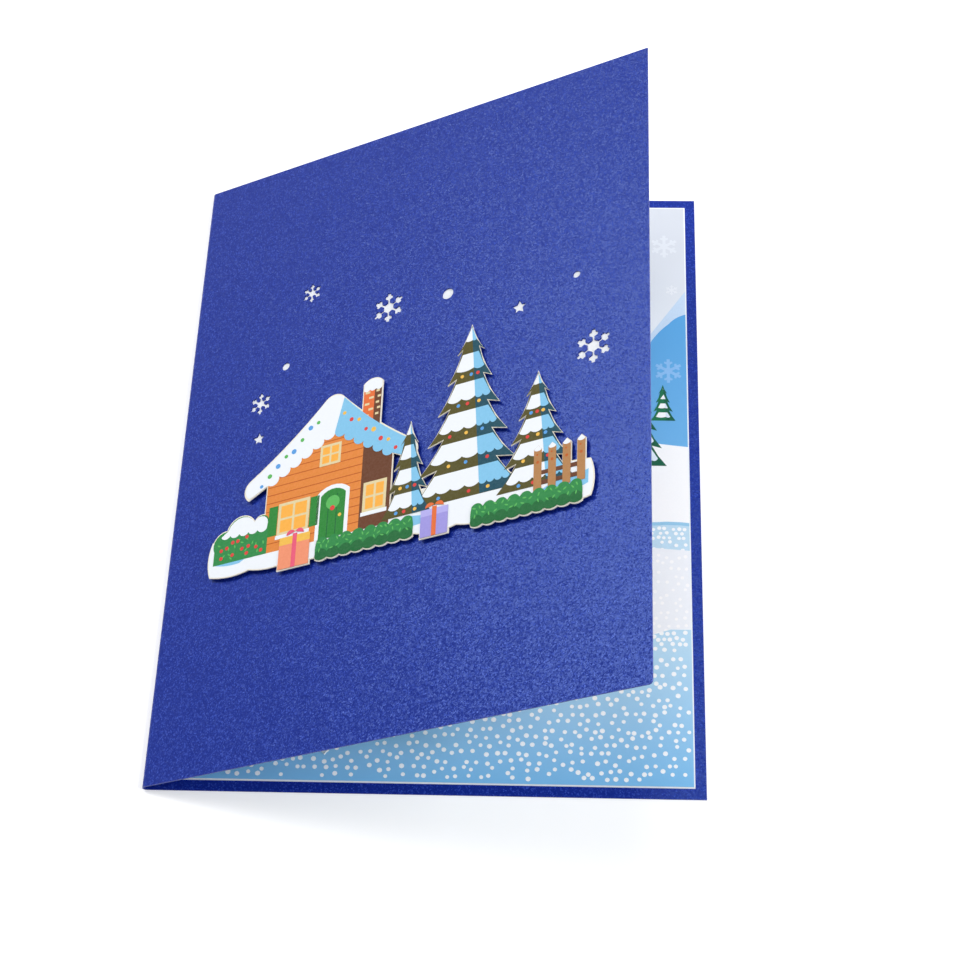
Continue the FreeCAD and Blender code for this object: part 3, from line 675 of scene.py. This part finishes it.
def frame_round(left, bottom, width, height, edge):
    return rectangle(left - edge, bottom - edge, width + 2 * edge, height + 2 * edge)


def panes(left, bottom, width, height, bar):
    """The four panes of a window with a cross of glazing bars."""
    pane_width = (width - bar) / 2
    pane_height = (height - bar) / 2
    return [rectangle(left + column * (pane_width + bar), bottom + row * (pane_height + bar),
                      pane_width, pane_height)
            for column in range(2) for row in range(2)]


def fir_tiers(foot, height, half_width, tiers):
    """For each tier of a fir: its foot, the next tier's foot, and half its width at both."""
    step = height / tiers
    rows = []
    for tier in range(tiers):
        tip = half_width * (1 - tier / (tiers + FIR_TAPER))
        above = half_width * (1 - (tier + 1) / (tiers + FIR_TAPER)) * FIR_NOTCH
        if tier + 1 == tiers:
            above = 0
        rows.append((foot + tier * step, foot + (tier + 1) * step, tip, above))
    return rows


def fir_outline(centre, foot, height, half_width, tiers):
    step = height / tiers
    points = []
    for low, high, tip, above in fir_tiers(foot, height, half_width, tiers):
        points.append((centre + tip, low))
        lift = FIR_DROOP * step if above else 0
        points.append((centre + above, high + lift, -FIR_SAG * step))
    return mirrored(points, centre)


def tier_snow(centre, row, split_at):
    """One tier's snow: its lit patch, its shaded patch, and half its width at the foot."""
    low, high, tip, above = row
    snow_low = low + SNOW_FOOT_SHARE * (high - low)
    snow_high = high - PRINT_EDGE if above else high - 3 * PRINT_EDGE
    half_low = tip + (above - tip) * SNOW_FOOT_SHARE - 2.5 * PRINT_EDGE
    half_high = max(above + (tip - above) * FIR_DROOP - 2.5 * PRINT_EDGE, PRINT_EDGE / 2)
    middle_low = split_at(snow_low)
    middle_high = split_at(snow_high)
    left_low = (centre - half_low, snow_low)
    right_low = (centre + half_low, snow_low)
    lumps = max(1, round(half_low / WAVE_WIDTH))
    dip = WAVE_DEPTH * min(1, half_low / (WAVE_WIDTH * 2))
    white = [left_low] + waves(left_low, middle_low, lumps, dip) + [middle_high]
    pale = [middle_low] + waves(middle_low, right_low, lumps, dip)
    if half_high > PRINT_EDGE:
        white.append((centre - half_high, snow_high))
        pale.append((centre + half_high, snow_high))
    return white, pale + [middle_high], half_low


def print_fir(name, plane, place, layer, inks, slot="printed_scene"):
    """A fir with snow on each tier: olive and white on its left, teal and pale blue on its right."""
    centre, foot, height, half_width, tiers = place
    edge = PRINT_EDGE if slot == "printed_scene" else 0
    outline = inset(fir_outline(*place), edge, 2)
    apex = max(range(len(outline)), key=lambda index: outline[index].y)
    stamp(f"{name}_left", plane, [outline], inks["left"], layer)
    split = (centre + FIR_SPLIT * half_width, foot + edge)
    stamp(f"{name}_right", plane, [[split] + outline[:apex + 1]], inks["right"], layer + 1)

    def split_at(level):
        return (centre + FIR_SPLIT * half_width * (1 - (level - foot) / height), level)

    white = []
    pale = []
    lights = {"red": [], "gold": [], "sky": []}
    chance = random.Random(name)
    for row in fir_tiers(*place[1:]):
        lit_patch, shaded_patch, half_low = tier_snow(centre, row, split_at)
        white.append(lit_patch)
        pale.append(shaded_patch)
        if half_low > LIT_HALF_WIDTH:
            level = row[0] + LIGHT_RISE * (row[1] - row[0])
            for index, spots in enumerate(lights.values()):
                third = (index + len(white)) % 3 - 1
                across = third * LIGHT_SPREAD + chance.uniform(-LIGHT_JITTER, LIGHT_JITTER)
                spots.append(disc(centre + across * half_low, level, LIGHT_RADIUS))
    stamp(f"{name}_snow", plane, white, inks["snow"], layer + 2)
    stamp(f"{name}_snow_shade", plane, pale, inks["snow_shade"], layer + 2)
    for shade, spots in lights.items():
        if spots and shade in inks:
            stamp(f"{name}_{shade}_lights", plane, spots, inks[shade], layer + 3)


def print_ground(inks):
    """Drifts of snow, with pale blue hollows at both ends and a third at the cabin's right corner.
    """
    stamp("scene_ground", scene_face, [inset(ground_outline(), PRINT_EDGE)], inks["snow"], 1)
    hollows = [
        [(17.2, 62.5), (26, 61.4, 0.5), (33, 63.2, -0.6), (24, 65.6, -0.5)],
        [(117, 59.5), (126, 58.2, 0.5), (133.1, 59.4, 0.4), (133.2, 63.6), (124, 62.6, -0.8)],
        [(72, 60.5), (84, 59.6, 0.6), (92, 61.8, -0.4), (80, 62.8, -0.4)],
    ]
    stamp("scene_ground_hollows", scene_face, hollows, inks["snow_shade"], 2)


def ground_outline():
    ends = ((GROUND_LEFT, 58.8, 69.9), (GROUND_RIGHT, 55.5, 66.6))
    (left, left_foot, left_top), (right, right_foot, right_top) = ends
    third = (right - left) / 3
    points = [(left, left_foot, 1)]
    points += waves((left, left_foot), (right, right_foot), GROUND_SCALLOPS, 0.9)
    points.append((right, right_top, 1))
    points.append((right - third, right_top - 0.8, 1.4))
    points.append((left + third, left_top - 0.8, -1.4))
    points.append((left, left_top, 1.4))
    return points


def print_chimney(inks):
    """Warm brick, lit on the left, under a cap of snow."""
    half = CHIMNEY_WIDTH / 2
    cap = CHIMNEY_TOP - half / 2
    left = CHIMNEY_CENTRE - half + PRINT_EDGE
    right = CHIMNEY_CENTRE + half - PRINT_EDGE
    corner = CHIMNEY_CENTRE + 0.2 * half
    foot = CABIN_EAVE + 8
    height = cap - 2 - foot
    stamp("chimney_lit", scene_face, [rectangle(left, foot, corner - left, height)],
          inks["brick"], 1)
    stamp("chimney_shade", scene_face, [rectangle(corner, foot, right - corner, height)],
          inks["timber"], 1)
    bricks = []
    for row in range(BRICK_ROWS):
        y = cap - 3.4 - row * BRICK_PITCH
        x = left + 0.5 + (row % 2) * 1.3
        bricks.append(rectangle(x, y, 1.5, BRICK_HEIGHT))
        bricks.append(rectangle(corner + 0.5 + (row % 2) * 0.5, y, 1.1, BRICK_HEIGHT))
    stamp("chimney_bricks", scene_face, bricks, inks["pane_frame"], 2)
    stamp("chimney_snow", scene_face,
          [[(left, cap - 2.2)] + waves((left, cap - 2.2), (right, cap - 2.2), 3, 0.5)
           + [(right, cap), (left, cap, half / 2 - PRINT_EDGE)]], inks["snow"], 3)


def print_cabin(inks):
    """A timber cabin: plank gable, door, two lit windows with shutters and a roof in deep snow."""
    left = CABIN_LEFT + PRINT_EDGE
    right = CABIN_LEFT + CABIN_WIDTH - PRINT_EDGE
    middle = CABIN_LEFT + CABIN_WIDTH / 2
    floor = CABIN_FLOOR + PRINT_EDGE
    peak = CABIN_RIDGE - GABLE_DROP
    wall = [(left, floor), (right, floor), (right, CABIN_EAVE), (middle, peak), (left, CABIN_EAVE)]
    stamp("cabin_wall", scene_face, [wall], inks["planks"], 2)
    joints = []
    level = floor + PLANK
    while level < peak - PLANK:
        half = (right - left) / 2
        if level > CABIN_EAVE:
            half *= (peak - level) / (peak - CABIN_EAVE)
        joints.append(rectangle(middle - half, level, 2 * half, JOINT_WIDTH))
        level += PLANK
    stamp("cabin_plank_joints", scene_face, joints, inks["plank_joint"], 3)
    side = [(right - SIDE_WALL_WIDTH, floor), (right, floor), (right, CABIN_EAVE),
            (right - SIDE_WALL_WIDTH, CABIN_EAVE + 7)]
    stamp("cabin_side_wall", scene_face, [side], inks["timber"], 4)
    print_door(inks, floor)
    print_windows(inks, floor)
    print_roof(inks, middle, peak)
    print_baubles(inks, middle)


def arched(left, floor, width, height, rise):
    """A doorway's outline with an arched top."""
    return [(left, floor), (left + width, floor), (left + width, floor + height),
            (left, floor + height, rise)]


def print_door(inks, floor):
    """The door in its snowy frame, with boards, a knob and a wreath."""
    left = CABIN_LEFT + DOOR_LEFT
    frame_width = DOOR_WIDTH + 2 * DOOR_CASING
    stamp("door_frame", scene_face,
          [arched(left - DOOR_CASING, floor, frame_width, DOOR_HEIGHT + 0.9, DOOR_ARCH + 0.4)],
          inks["snow"], 5)
    stamp("door", scene_face, [arched(left, floor, DOOR_WIDTH, DOOR_HEIGHT, DOOR_ARCH)],
          inks["door"], 6)
    gaps = [rectangle(left + across, floor, JOINT_WIDTH, DOOR_HEIGHT) for across in (2.5, 5.2)]
    stamp("door_boards", scene_face, gaps, inks["hedge_shade"], 7)
    stamp("door_knob", scene_face, [disc(left + 6.5, floor + 6.5, 0.55)], inks["gold"], 8)
    middle = left + DOOR_WIDTH / 2
    stamp("door_wreath", scene_face, [disc(middle, floor + 11, 2.2)], inks["leaf"], 8)
    stamp("door_wreath_bow", scene_face, [disc(middle, floor + 9.2, 0.8)], inks["red"], 9)


def print_windows(inks, floor):
    """The lit windows, the left one with shutters, and the small attic window."""
    openings = [(CABIN_LEFT + across, floor + up, width, height)
                for across, up, width, height in WINDOWS]
    frames = [frame_round(*opening, WINDOW_CASING) for opening in openings]
    glass = [pane for opening in openings for pane in panes(*opening, WINDOW_BAR)]
    x, y, width, height = openings[0]
    shutters = [rectangle(left, y - 0.5, SHUTTER_WIDTH, height + 1)
                for left in (x - SHUTTER_WIDTH - 1.1, x + width + 1.1)]
    attic = (CABIN_LEFT + CABIN_WIDTH / 2 - ATTIC_SIZE / 2, CABIN_EAVE + ATTIC_SIZE / 2,
             ATTIC_SIZE, ATTIC_SIZE)
    frames.append(frame_round(*attic, ATTIC_CASING))
    glass += panes(*attic, ATTIC_BAR)
    stamp("shutters", scene_face, shutters, inks["door"], 5)
    stamp("window_frames", scene_face, frames, inks["pane_frame"], 5)
    stamp("window_panes", scene_face, glass, inks["pane"], 6)
    sills = [rectangle(x - 1.3, y - 2, width + 2.6, 1.2) for x, y, width, height in openings]
    stamp("window_sill_snow", scene_face, sills, inks["snow"], 6)


def print_roof(inks, middle, peak):
    """Snow on the roof: white to the left, pale blue to the right, with rounded drips."""
    depth = ROOF_SNOW
    eave_left = CABIN_LEFT - CABIN_OVERHANG + PRINT_EDGE
    eave_right = CABIN_LEFT + CABIN_WIDTH + CABIN_OVERHANG - PRINT_EDGE
    wall_left = (CABIN_LEFT + PRINT_EDGE, CABIN_EAVE + PRINT_EDGE)
    wall_right = (CABIN_LEFT + CABIN_WIDTH - PRINT_EDGE, CABIN_EAVE + PRINT_EDGE)
    low = CABIN_EAVE - depth + 2 * PRINT_EDGE
    high = CABIN_EAVE + depth - PRINT_EDGE
    crown = CABIN_RIDGE - depth / 3 - PRINT_EDGE
    drip_peak = (middle + 1, peak - depth)
    end_bulge = depth / 2 - PRINT_EDGE / 2
    left_slope = [(eave_left, low, end_bulge), wall_left]
    left_slope += waves(wall_left, drip_peak, 6, DRIP)
    left_slope += [(middle + depth, crown), (middle - depth, crown, end_bulge),
                   (eave_left, high, -depth / 4 - PRINT_EDGE / 2)]
    stamp("roof_snow", scene_face, [left_slope], inks["snow"], 7)
    right_slope = [drip_peak]
    right_slope += waves(drip_peak, wall_right, 6, DRIP)
    right_slope += [(eave_right, low), (eave_right, high, end_bulge),
                    (middle + depth, crown, -depth / 4 - PRINT_EDGE / 2)]
    stamp("roof_snow_shade", scene_face, [right_slope], inks["snow_shade"], 8)


def print_baubles(inks, middle):
    """Small round ornaments down both slopes of the roof."""
    crown = CABIN_RIDGE - ROOF_SNOW / 3 - PRINT_EDGE
    chance = random.Random(4)
    spots = {"red": [], "gold": [], "sky": [], "leaf": []}
    for index in range(BAUBLES):
        share = (index + 0.5) / BAUBLES
        side = -1 if index % 2 else 1
        x = middle + side * (3 + share * 20)
        y = crown - 4.2 - share * 19 + chance.uniform(-1.2, 1.2)
        shade = sorted(spots)[index % 4]
        spots[shade].append(disc(x, y, chance.uniform(0.55, 0.85)))
    for shade, discs in spots.items():
        stamp(f"roof_{shade}_baubles", scene_face, discs, inks[shade], 9)


def print_bush(inks):
    """A holly bush with red berries under snow."""
    left, width, foot, rise = BUSH_LEFT, BUSH_WIDTH, BUSH_FOOT, BUSH_RISE
    outline = [(left + across * width, foot + up * rise, bulge * width)
               for across, up, bulge in BUSH_CORNERS]
    stamp("bush_leaves", scene_face, [inset(outline, PRINT_EDGE)], inks["hedge"], 4)
    snow = [(left + 2.2, foot + 9)]
    snow += waves((left + 2.2, foot + 9), (left + width - 0.8, foot + 8.4), 5, 0.9)
    snow += [(left + width - 0.6, foot + 0.68 * rise),
             (left + 0.72 * width, foot + 0.76 * rise, 1.9),
             (left + 0.24 * width, foot + 0.7 * rise, 3.0)]
    stamp("bush_snow", scene_face, [snow], inks["snow"], 5)
    chance = random.Random(7)
    places = strewn(BERRIES, left + 0.1 * width, left + 0.9 * width, foot + 1.6, foot + 7.6, 1.6,
                    chance)
    berries = [disc(*place, BERRY_RADIUS) for place in places]
    stamp("bush_berries", scene_face, berries, inks["red"], 6)
    print_leaves("bush_leaf_marks", left + 1.5, left + width - 1.5, foot + 1.4, foot + 7.4, 16,
                 inks["leaf"], 5, 3)


def print_leaves(name, left, right, low, high, count, ink, layer, seed):
    """Small pointed leaf marks, each turned its own way."""
    chance = random.Random(seed)
    marks = []
    for place in strewn(count, left, right, low, high, LEAF_LENGTH, chance):
        turn = chance.uniform(0, math.pi)
        reach = Vector((math.cos(turn), math.sin(turn))) * LEAF_LENGTH / 2
        marks.append([(*(place - reach), 0.22), (*(place + reach), 0.22)])
    stamp(name, scene_face, marks, ink, layer)


def hedge_outline(left, right, foot, top):
    lumps = max(2, round((right - left) / HEDGE_LUMP))
    step = (right - left) / lumps
    points = [(left, foot, 0.1 * step)]
    points += waves((left, foot), (right, foot), lumps, 0.16 * step)
    points.append((right, top, 0.1 * step))
    points += waves((right, top), (left, top), lumps, 0.28 * step)
    return points


def print_hedges(inks):
    """Two clipped hedges along the foot of the scene."""
    for name, left, right, foot in HEDGES:
        top = foot + HEDGE_HEIGHT
        whole = hedge_outline(left, right, foot, top)
        shade = hedge_outline(left, right, foot, foot + HEDGE_SHADE_HEIGHT)
        stamp(f"{name}_hedge", scene_face, [inset(whole, PRINT_EDGE)], inks["hedge"], 14)
        stamp(f"{name}_hedge_shade", scene_face, [inset(shade, PRINT_EDGE)], inks["hedge_shade"], 15)
        print_leaves(f"{name}_hedge_leaves", left + 1, right - 1, foot + 2.6, top - 0.4, 30,
                     inks["leaf"], 16, 5)


def print_gift(name, centre, foot, edge, wrap, ribbon, shade):
    """A wrapped box: paper, a lid band, a ribbon and a bow with two loops."""
    half = edge / 2
    bow = GIFT_BOW
    lid = foot + edge
    lid_depth = GIFT_LID_SHARE * edge
    box = rectangle(centre - half, foot, edge, edge)
    stamp(f"{name}_wrap", scene_face, [inset(box, PRINT_EDGE)], wrap, 17)
    stamp(f"{name}_lid", scene_face,
          [rectangle(centre - half + PRINT_EDGE, lid - lid_depth, edge - 2 * PRINT_EDGE,
                     lid_depth - PRINT_EDGE)], shade, 18)
    loop = bow / 2 - 0.4
    loops = [[(centre + bow - 0.4, lid), (centre + 0.1, lid + bow / 4, loop)],
             [(centre - 0.1, lid + bow / 4), (centre - bow + 0.4, lid, loop)]]
    stamp(f"{name}_ribbon", scene_face,
          [rectangle(centre - GIFT_RIBBON / 2, foot + PRINT_EDGE, GIFT_RIBBON, edge)], ribbon, 19)
    stamp(f"{name}_bow", scene_face, loops, ribbon, 20)


def print_pickets(inks):
    """Four pickets and their rail, with knots in each and snow on the points."""
    tops = []
    knots = []
    boards = []
    half = PICKET_WIDTH / 2
    shoulder = PICKET_FOOT + PICKET_HEIGHT - half
    for index in range(PICKETS):
        left = PICKET_RIGHT - index * PICKET_PITCH - PICKET_WIDTH
        right = left + PICKET_WIDTH
        boards.append(inset([(left, PICKET_FOOT), (right, PICKET_FOOT), (right, shoulder),
                             (left + half, PICKET_FOOT + PICKET_HEIGHT), (left, shoulder)],
                            PRINT_EDGE / 2))
        tops.append([(left + 0.25, shoulder - 0.3), (right - 0.25, shoulder - 0.3, 0.4),
                     (right - 0.25, shoulder), (left + half, PICKET_FOOT + PICKET_HEIGHT - 0.25),
                     (left + 0.25, shoulder)])
        knots.append(disc(left + half, PICKET_FOOT + 8.6, 0.45))
        knots.append(disc(left + 1.1, PICKET_FOOT + 10.9, 0.3))
    span = (PICKETS - 1) * PICKET_PITCH
    rails = [rectangle(PICKET_RIGHT - span - 2.4, PICKET_FOOT + low, span + 2.2, RAIL_HEIGHT)
             for low in (1.6, 4.6)]
    stamp("picket_rails", scene_face, rails, inks["timber"], 11)
    stamp("picket_boards", scene_face, boards, inks["tan"], 12)
    stamp("picket_knots", scene_face, knots, inks["plank_joint"], 13)
    stamp("picket_snow", scene_face, tops, inks["snow"], 13)


def popup_crest(reach):
    """Where a pop up's two panels would meet at its crest, in millimetres."""
    return Vector((POPUP_APEX + reach * (1 + math.cos(OPENING)) - CARD_WIDTH / 2,
                   -CARD_HEIGHT / 2, POPUP_MIDDLE + reach * math.sin(OPENING)))


def popup_face(reach, side):
    """The outer face of a pop up's panel: x runs from its crest towards the page."""
    along = -slope if side == "lower" else Vector((-1, 0, 0))
    normal = -front_normal if side == "lower" else Vector((0, 0, 1))
    return panel(popup_crest(reach) + normal * POPUP_THICKNESS / 2, along, normal)


def print_popup(name, reach, outlines, ink, layer=1):
    """The same outlines on both outer faces of a pop up."""
    for side in ("lower", "upper"):
        stamp(f"{name}_{side}", popup_face(reach, side), outlines, ink, layer)


def print_crest(name, reach, spans, ink):
    """Ink round the fold of a pop up, over spans of height from the card's bottom edge."""
    inward = (Vector((-1, 0, 0)) - slope).normalized()
    centre = popup_crest(reach) + inward * CREASE_MIDDLE / math.sin(OPENING / 2)
    inner = CREASE_MIDDLE + POPUP_THICKNESS / 2
    first = OPENING - math.pi / 2
    shape = bmesh.new()
    for low, high in spans:
        rings = []
        for step in range(CREST_STEPS + 1):
            turn = first + (math.pi / 2 - first) * step / CREST_STEPS
            away = Vector((math.cos(turn), 0, math.sin(turn)))
            rings.append([shape.verts.new((centre + away * radius + Vector((0, height, 0))) * MM)
                          for radius, height in ((inner, low), (inner + INK, low),
                                                 (inner + INK, high), (inner, high))])
        for before, after in zip(rings, rings[1:]):
            for corner in range(4):
                beside = (corner + 1) % 4
                shape.faces.new((before[corner], before[beside], after[beside], after[corner]))
        shape.faces.new(rings[0][::-1])
        shape.faces.new(rings[-1])
    bmesh.ops.recalc_face_normals(shape, faces=shape.faces)
    piece = finished_object(name, shape, ink)
    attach(piece, "root")


def print_popup_firs(inks):
    """Green tiers with snow on them, a brown trunk and a snow mound left bare."""
    step = (FIRS_TOP - FIRS_TRUNK_TOP) / FIRS_TIERS
    inner = CREST_FLAT - 0.1
    green = []
    snow = []
    snow_spans = []
    for tier in range(FIRS_TIERS):
        low = FIRS_TRUNK_TOP + tier * step
        width = CREST_FLAT + (FIRS_SKIRT - CREST_FLAT) * (1 - tier / FIRS_TIERS)
        notch = CREST_FLAT
        if tier + 1 < FIRS_TIERS:
            notch += (width - CREST_FLAT) * FIRS_NOTCH
        tip = max(notch, inner + 1)
        green.append([(inner, low + 0.3), (width - 1, low + 0.4), (tip - 0.4, low + step - 0.3),
                      (inner, low + step - 0.3)])
        snow_low = low + 0.5 * step
        snow_half = width + (notch - width) * 0.5 - 1
        lumps = max(1, round(snow_half / 5))
        snow.append([(inner, snow_low)]
                    + waves((inner, snow_low), (snow_half, snow_low), lumps, 0.9)
                    + [(tip - 0.5, low + step - 0.4), (inner, low + step - 0.4)])
        snow_spans.append((snow_low, low + step - 0.4))
    green_spans = [(FIRS_TRUNK_TOP + tier * step + 0.3, FIRS_TRUNK_TOP + (tier + 0.5) * step)
                   for tier in range(FIRS_TIERS)]
    trunk = rectangle(inner, FIRS_TRUNK_FOOT, TRUNK_WIDTH - CREST_FLAT,
                      FIRS_TRUNK_TOP - FIRS_TRUNK_FOOT)
    branch = [(BRANCH_PLACE - BRANCH_HALF, 9.2), (BRANCH_PLACE, 6.7),
              (BRANCH_PLACE + BRANCH_HALF, 9.2)]
    print_popup("popup_fir_leaves", FIRS_REACH, green, inks["leaf"], 1)
    print_popup("popup_fir_snow", FIRS_REACH, snow, inks["snow"], 2)
    print_crest("popup_fir_crest_leaves", FIRS_REACH, green_spans, inks["leaf"])
    print_crest("popup_fir_crest_snow", FIRS_REACH, snow_spans, inks["snow"])
    print_popup("popup_fir_trunk", FIRS_REACH, [trunk], inks["timber"], 1)
    print_crest("popup_fir_crest_trunk", FIRS_REACH, [(FIRS_TRUNK_FOOT, FIRS_TRUNK_TOP)],
                inks["timber"])
    print_popup("popup_fir_branch_tip", FIRS_REACH, [branch], inks["leaf"], 1)


def print_popup_cottage(inks):
    """Timber walls round bare window frames, a snow roof shaded at its drips, a low hedge."""
    inner = CREST_FLAT - 0.1
    foot, eave, roof = COTTAGE_FOOT, COTTAGE_EAVE, COTTAGE_ROOF
    left, right, sill, head = COTTAGE_WINDOW
    walls = [
        rectangle(inner, foot, left - inner, eave - foot),
        rectangle(right, foot + 4.2, COTTAGE_WALL - right, eave - foot - 4.2),
        rectangle(left, foot, right - left, sill - foot),
        rectangle(left, head, right - left, eave - head),
    ]
    print_popup("popup_cottage_walls", COTTAGE_REACH, walls, inks["planks"], 1)
    print_crest("popup_cottage_crest_walls", COTTAGE_REACH, [(foot, eave)], inks["timber"])
    drips = [(inner, eave - 0.5)]
    drips += waves((inner, eave - 0.5), (roof, eave - 2), 9, 1.4)
    drips += [(roof, eave + 3), (inner, eave + 7)]
    print_popup("popup_cottage_drips", COTTAGE_REACH, [drips], inks["snow_shade"], 2)
    end, low, high, crest = COTTAGE_HEDGE
    hedge = [(inner, low), (end, low), (end, high)] + waves((end, high), (inner, crest), 9, 1.6)
    print_popup("popup_cottage_hedge", COTTAGE_REACH, [hedge], inks["hedge"], 2)
    print_crest("popup_cottage_crest_hedge", COTTAGE_REACH, [(low, crest)], inks["hedge"])


def print_popup_fence(inks):
    """Tan pickets and a rail over a kerb of bare snow."""
    inner = CREST_FLAT - 0.1
    edge = CREST_FLAT + FENCE_WIDTH / 2
    boards = []
    for picket in range(FENCE_PICKETS):
        left = edge + FENCE_GAP + picket * FENCE_PITCH + 0.25
        right = left + FENCE_WIDTH - 0.5
        boards.append([(left, FENCE_FOOT), (right, FENCE_FOOT), (right, FENCE_SHOULDER),
                       ((left + right) / 2, FENCE_TIP), (left, FENCE_SHOULDER)])
    boards.append([(inner, FENCE_FOOT), (edge - 0.25, FENCE_FOOT), (edge - 0.25, FENCE_SHOULDER),
                   (inner, FENCE_TIP)])
    low, length, height = FENCE_RAIL
    print_popup("popup_fence_rails", FENCE_REACH, [rectangle(inner, low, length, height)],
                inks["timber"], 1)
    print_popup("popup_fence_boards", FENCE_REACH, boards, inks["tan"], 2)
    print_crest("popup_fence_crest", FENCE_REACH, [(FENCE_FOOT, FENCE_TIP)], inks["tan"])


def scene_inks():
    """The inks of the raised scene and the pop ups."""
    return {
        "snow": printed_ink("snow_ink", colour(238, 242, 247), 0.02),
        "snow_shade": printed_ink("snow_shade_ink", colour(132, 196, 232)),
        "planks": printed_ink("plank_ink", colour(226, 136, 62)),
        "plank_joint": printed_ink("plank_joint_ink", colour(190, 96, 38)),
        "timber": printed_ink("timber_ink", colour(104, 62, 40)),
        "brick": printed_ink("brick_ink", colour(228, 112, 58)),
        "pane": printed_ink("pane_ink", colour(250, 178, 74)),
        "pane_frame": printed_ink("pane_frame_ink", colour(226, 210, 164)),
        "door": printed_ink("door_ink", colour(44, 132, 54)),
        "hedge": printed_ink("hedge_ink", colour(48, 136, 72)),
        "hedge_shade": printed_ink("hedge_shade_ink", colour(30, 104, 54)),
        "leaf": printed_ink("leaf_ink", colour(92, 182, 92)),
        "tan": printed_ink("tan_ink", colour(180, 130, 82)),
        "red": printed_ink("red_ink", colour(220, 66, 62)),
        "gold": printed_ink("gold_ink", colour(242, 190, 82)),
        "sky": printed_ink("sky_blue_ink", colour(92, 160, 224)),
        "coral": printed_ink("coral_ink", colour(240, 148, 112)),
        "pink": printed_ink("pink_ink", colour(232, 92, 122)),
        "lilac": printed_ink("lilac_ink", colour(160, 152, 222)),
        "lilac_lid": printed_ink("lilac_lid_ink", colour(182, 176, 236)),
        "left": printed_ink("olive_ink", colour(84, 78, 34)),
        "right": printed_ink("teal_ink", colour(28, 76, 92)),
    }


def print_scene():
    """The raised scene from the back to the front, and the pop ups."""
    inks = scene_inks()
    print_ground(inks)
    print_chimney(inks)
    print_cabin(inks)
    for name, place, layer in SCENE_FIRS:
        print_fir(name, scene_face, place, layer, inks)
    print_bush(inks)
    print_pickets(inks)
    print_hedges(inks)
    print_gift("coral_gift", 44, 55.6, 10.5, inks["coral"], inks["pink"], inks["gold"])
    print_gift("lilac_gift", 88, 54.6, 8.9, inks["lilac"], inks["brick"], inks["lilac_lid"])
    print_popup_firs(inks)
    print_popup_cottage(inks)
    print_popup_fence(inks)


print_pages()
print_scene()


def make_floor():
    """A pale floor that the camera sees as white, with the card's shadow on it."""
    shape = bmesh.new()
    bmesh.ops.create_grid(shape, x_segments=1, y_segments=1, size=FLOOR_SIZE)
    material = new_material("white_floor")
    path = node(material, "ShaderNodeLightPath", (-600, 200))
    seen = node(material, "ShaderNodeMath", (-400, 200), operation="ADD", use_clamp=True)
    link(material, path.outputs["Is Camera Ray"], seen.inputs[0])
    link(material, path.outputs["Is Glossy Ray"], seen.inputs[1])
    glow = node(material, "ShaderNodeMath", (-200, 200), operation="MULTIPLY")
    glow.inputs[1].default_value = FLOOR_GLOW
    link(material, seen.outputs["Value"], glow.inputs[0])
    shader = node(material, "ShaderNodeBsdfPrincipled", (0, 0))
    shader.inputs["Base Color"].default_value = FLOOR_SHADE
    shader.inputs["Roughness"].default_value = 0.9
    shader.inputs["Emission Color"].default_value = WHITE
    link(material, glow.outputs["Value"], shader.inputs["Emission Strength"])
    out = node(material, "ShaderNodeOutputMaterial", (300, 0))
    link(material, shader.outputs["BSDF"], out.inputs["Surface"])
    floor = finished_object("floor", shape, material)


def make_world():
    """A white backdrop for the camera, and a dimmer, slightly cool light for the card."""
    world = bpy.data.worlds.new("studio")
    bpy.context.scene.world = world
    world.use_nodes = True
    tree = world.node_tree
    tree.nodes.clear()
    path = tree.nodes.new("ShaderNodeLightPath")
    mirrored_too = tree.nodes.new("ShaderNodeMath")
    mirrored_too.operation = "ADD"
    tree.links.new(path.outputs["Is Camera Ray"], mirrored_too.inputs[0])
    tree.links.new(path.outputs["Is Glossy Ray"], mirrored_too.inputs[1])
    seen = tree.nodes.new("ShaderNodeMath")
    seen.operation = "ADD"
    seen.use_clamp = True
    tree.links.new(mirrored_too.outputs["Value"], seen.inputs[0])
    tree.links.new(path.outputs["Is Transmission Ray"], seen.inputs[1])
    ambient = tree.nodes.new("ShaderNodeBackground")
    ambient.inputs["Color"].default_value = AMBIENT_COLOUR
    ambient.inputs["Strength"].default_value = AMBIENT_STRENGTH
    backdrop = tree.nodes.new("ShaderNodeBackground")
    backdrop.inputs["Color"].default_value = WHITE
    backdrop.inputs["Strength"].default_value = 1
    blend = tree.nodes.new("ShaderNodeMixShader")
    tree.links.new(seen.outputs["Value"], blend.inputs["Fac"])
    tree.links.new(ambient.outputs["Background"], blend.inputs[1])
    tree.links.new(backdrop.outputs["Background"], blend.inputs[2])
    out = tree.nodes.new("ShaderNodeOutputWorld")
    tree.links.new(blend.outputs["Shader"], out.inputs["Surface"])


def add_lamp(name, place, width, power):
    lamp = bpy.data.lights.new(name, "AREA")
    lamp.size = width
    lamp.energy = power
    item = bpy.data.objects.new(name, lamp)
    item.location = place
    item.rotation_euler = (Vector(LAMP_TARGET) - Vector(place)).to_track_quat("-Z", "Y").to_euler()
    bpy.context.scene.collection.objects.link(item)


def add_camera():
    """The photograph's view: from above the bottom edge of the card, down on its front."""
    camera = bpy.data.cameras.new("camera")
    camera.lens = LENS
    camera.sensor_width = SENSOR_WIDTH
    item = bpy.data.objects.new("camera", camera)
    item.location = Vector(CAMERA_PLACE) * MM
    item.rotation_euler = Euler([math.radians(turn) for turn in CAMERA_TURN])
    bpy.context.scene.collection.objects.link(item)
    bpy.context.scene.camera = item


make_floor()
make_world()
for lamp_name, lamp_place, lamp_width, lamp_power in LAMPS:
    add_lamp(lamp_name, lamp_place, lamp_width, lamp_power)
add_camera()
bpy.context.scene.view_settings.view_transform = "Standard"
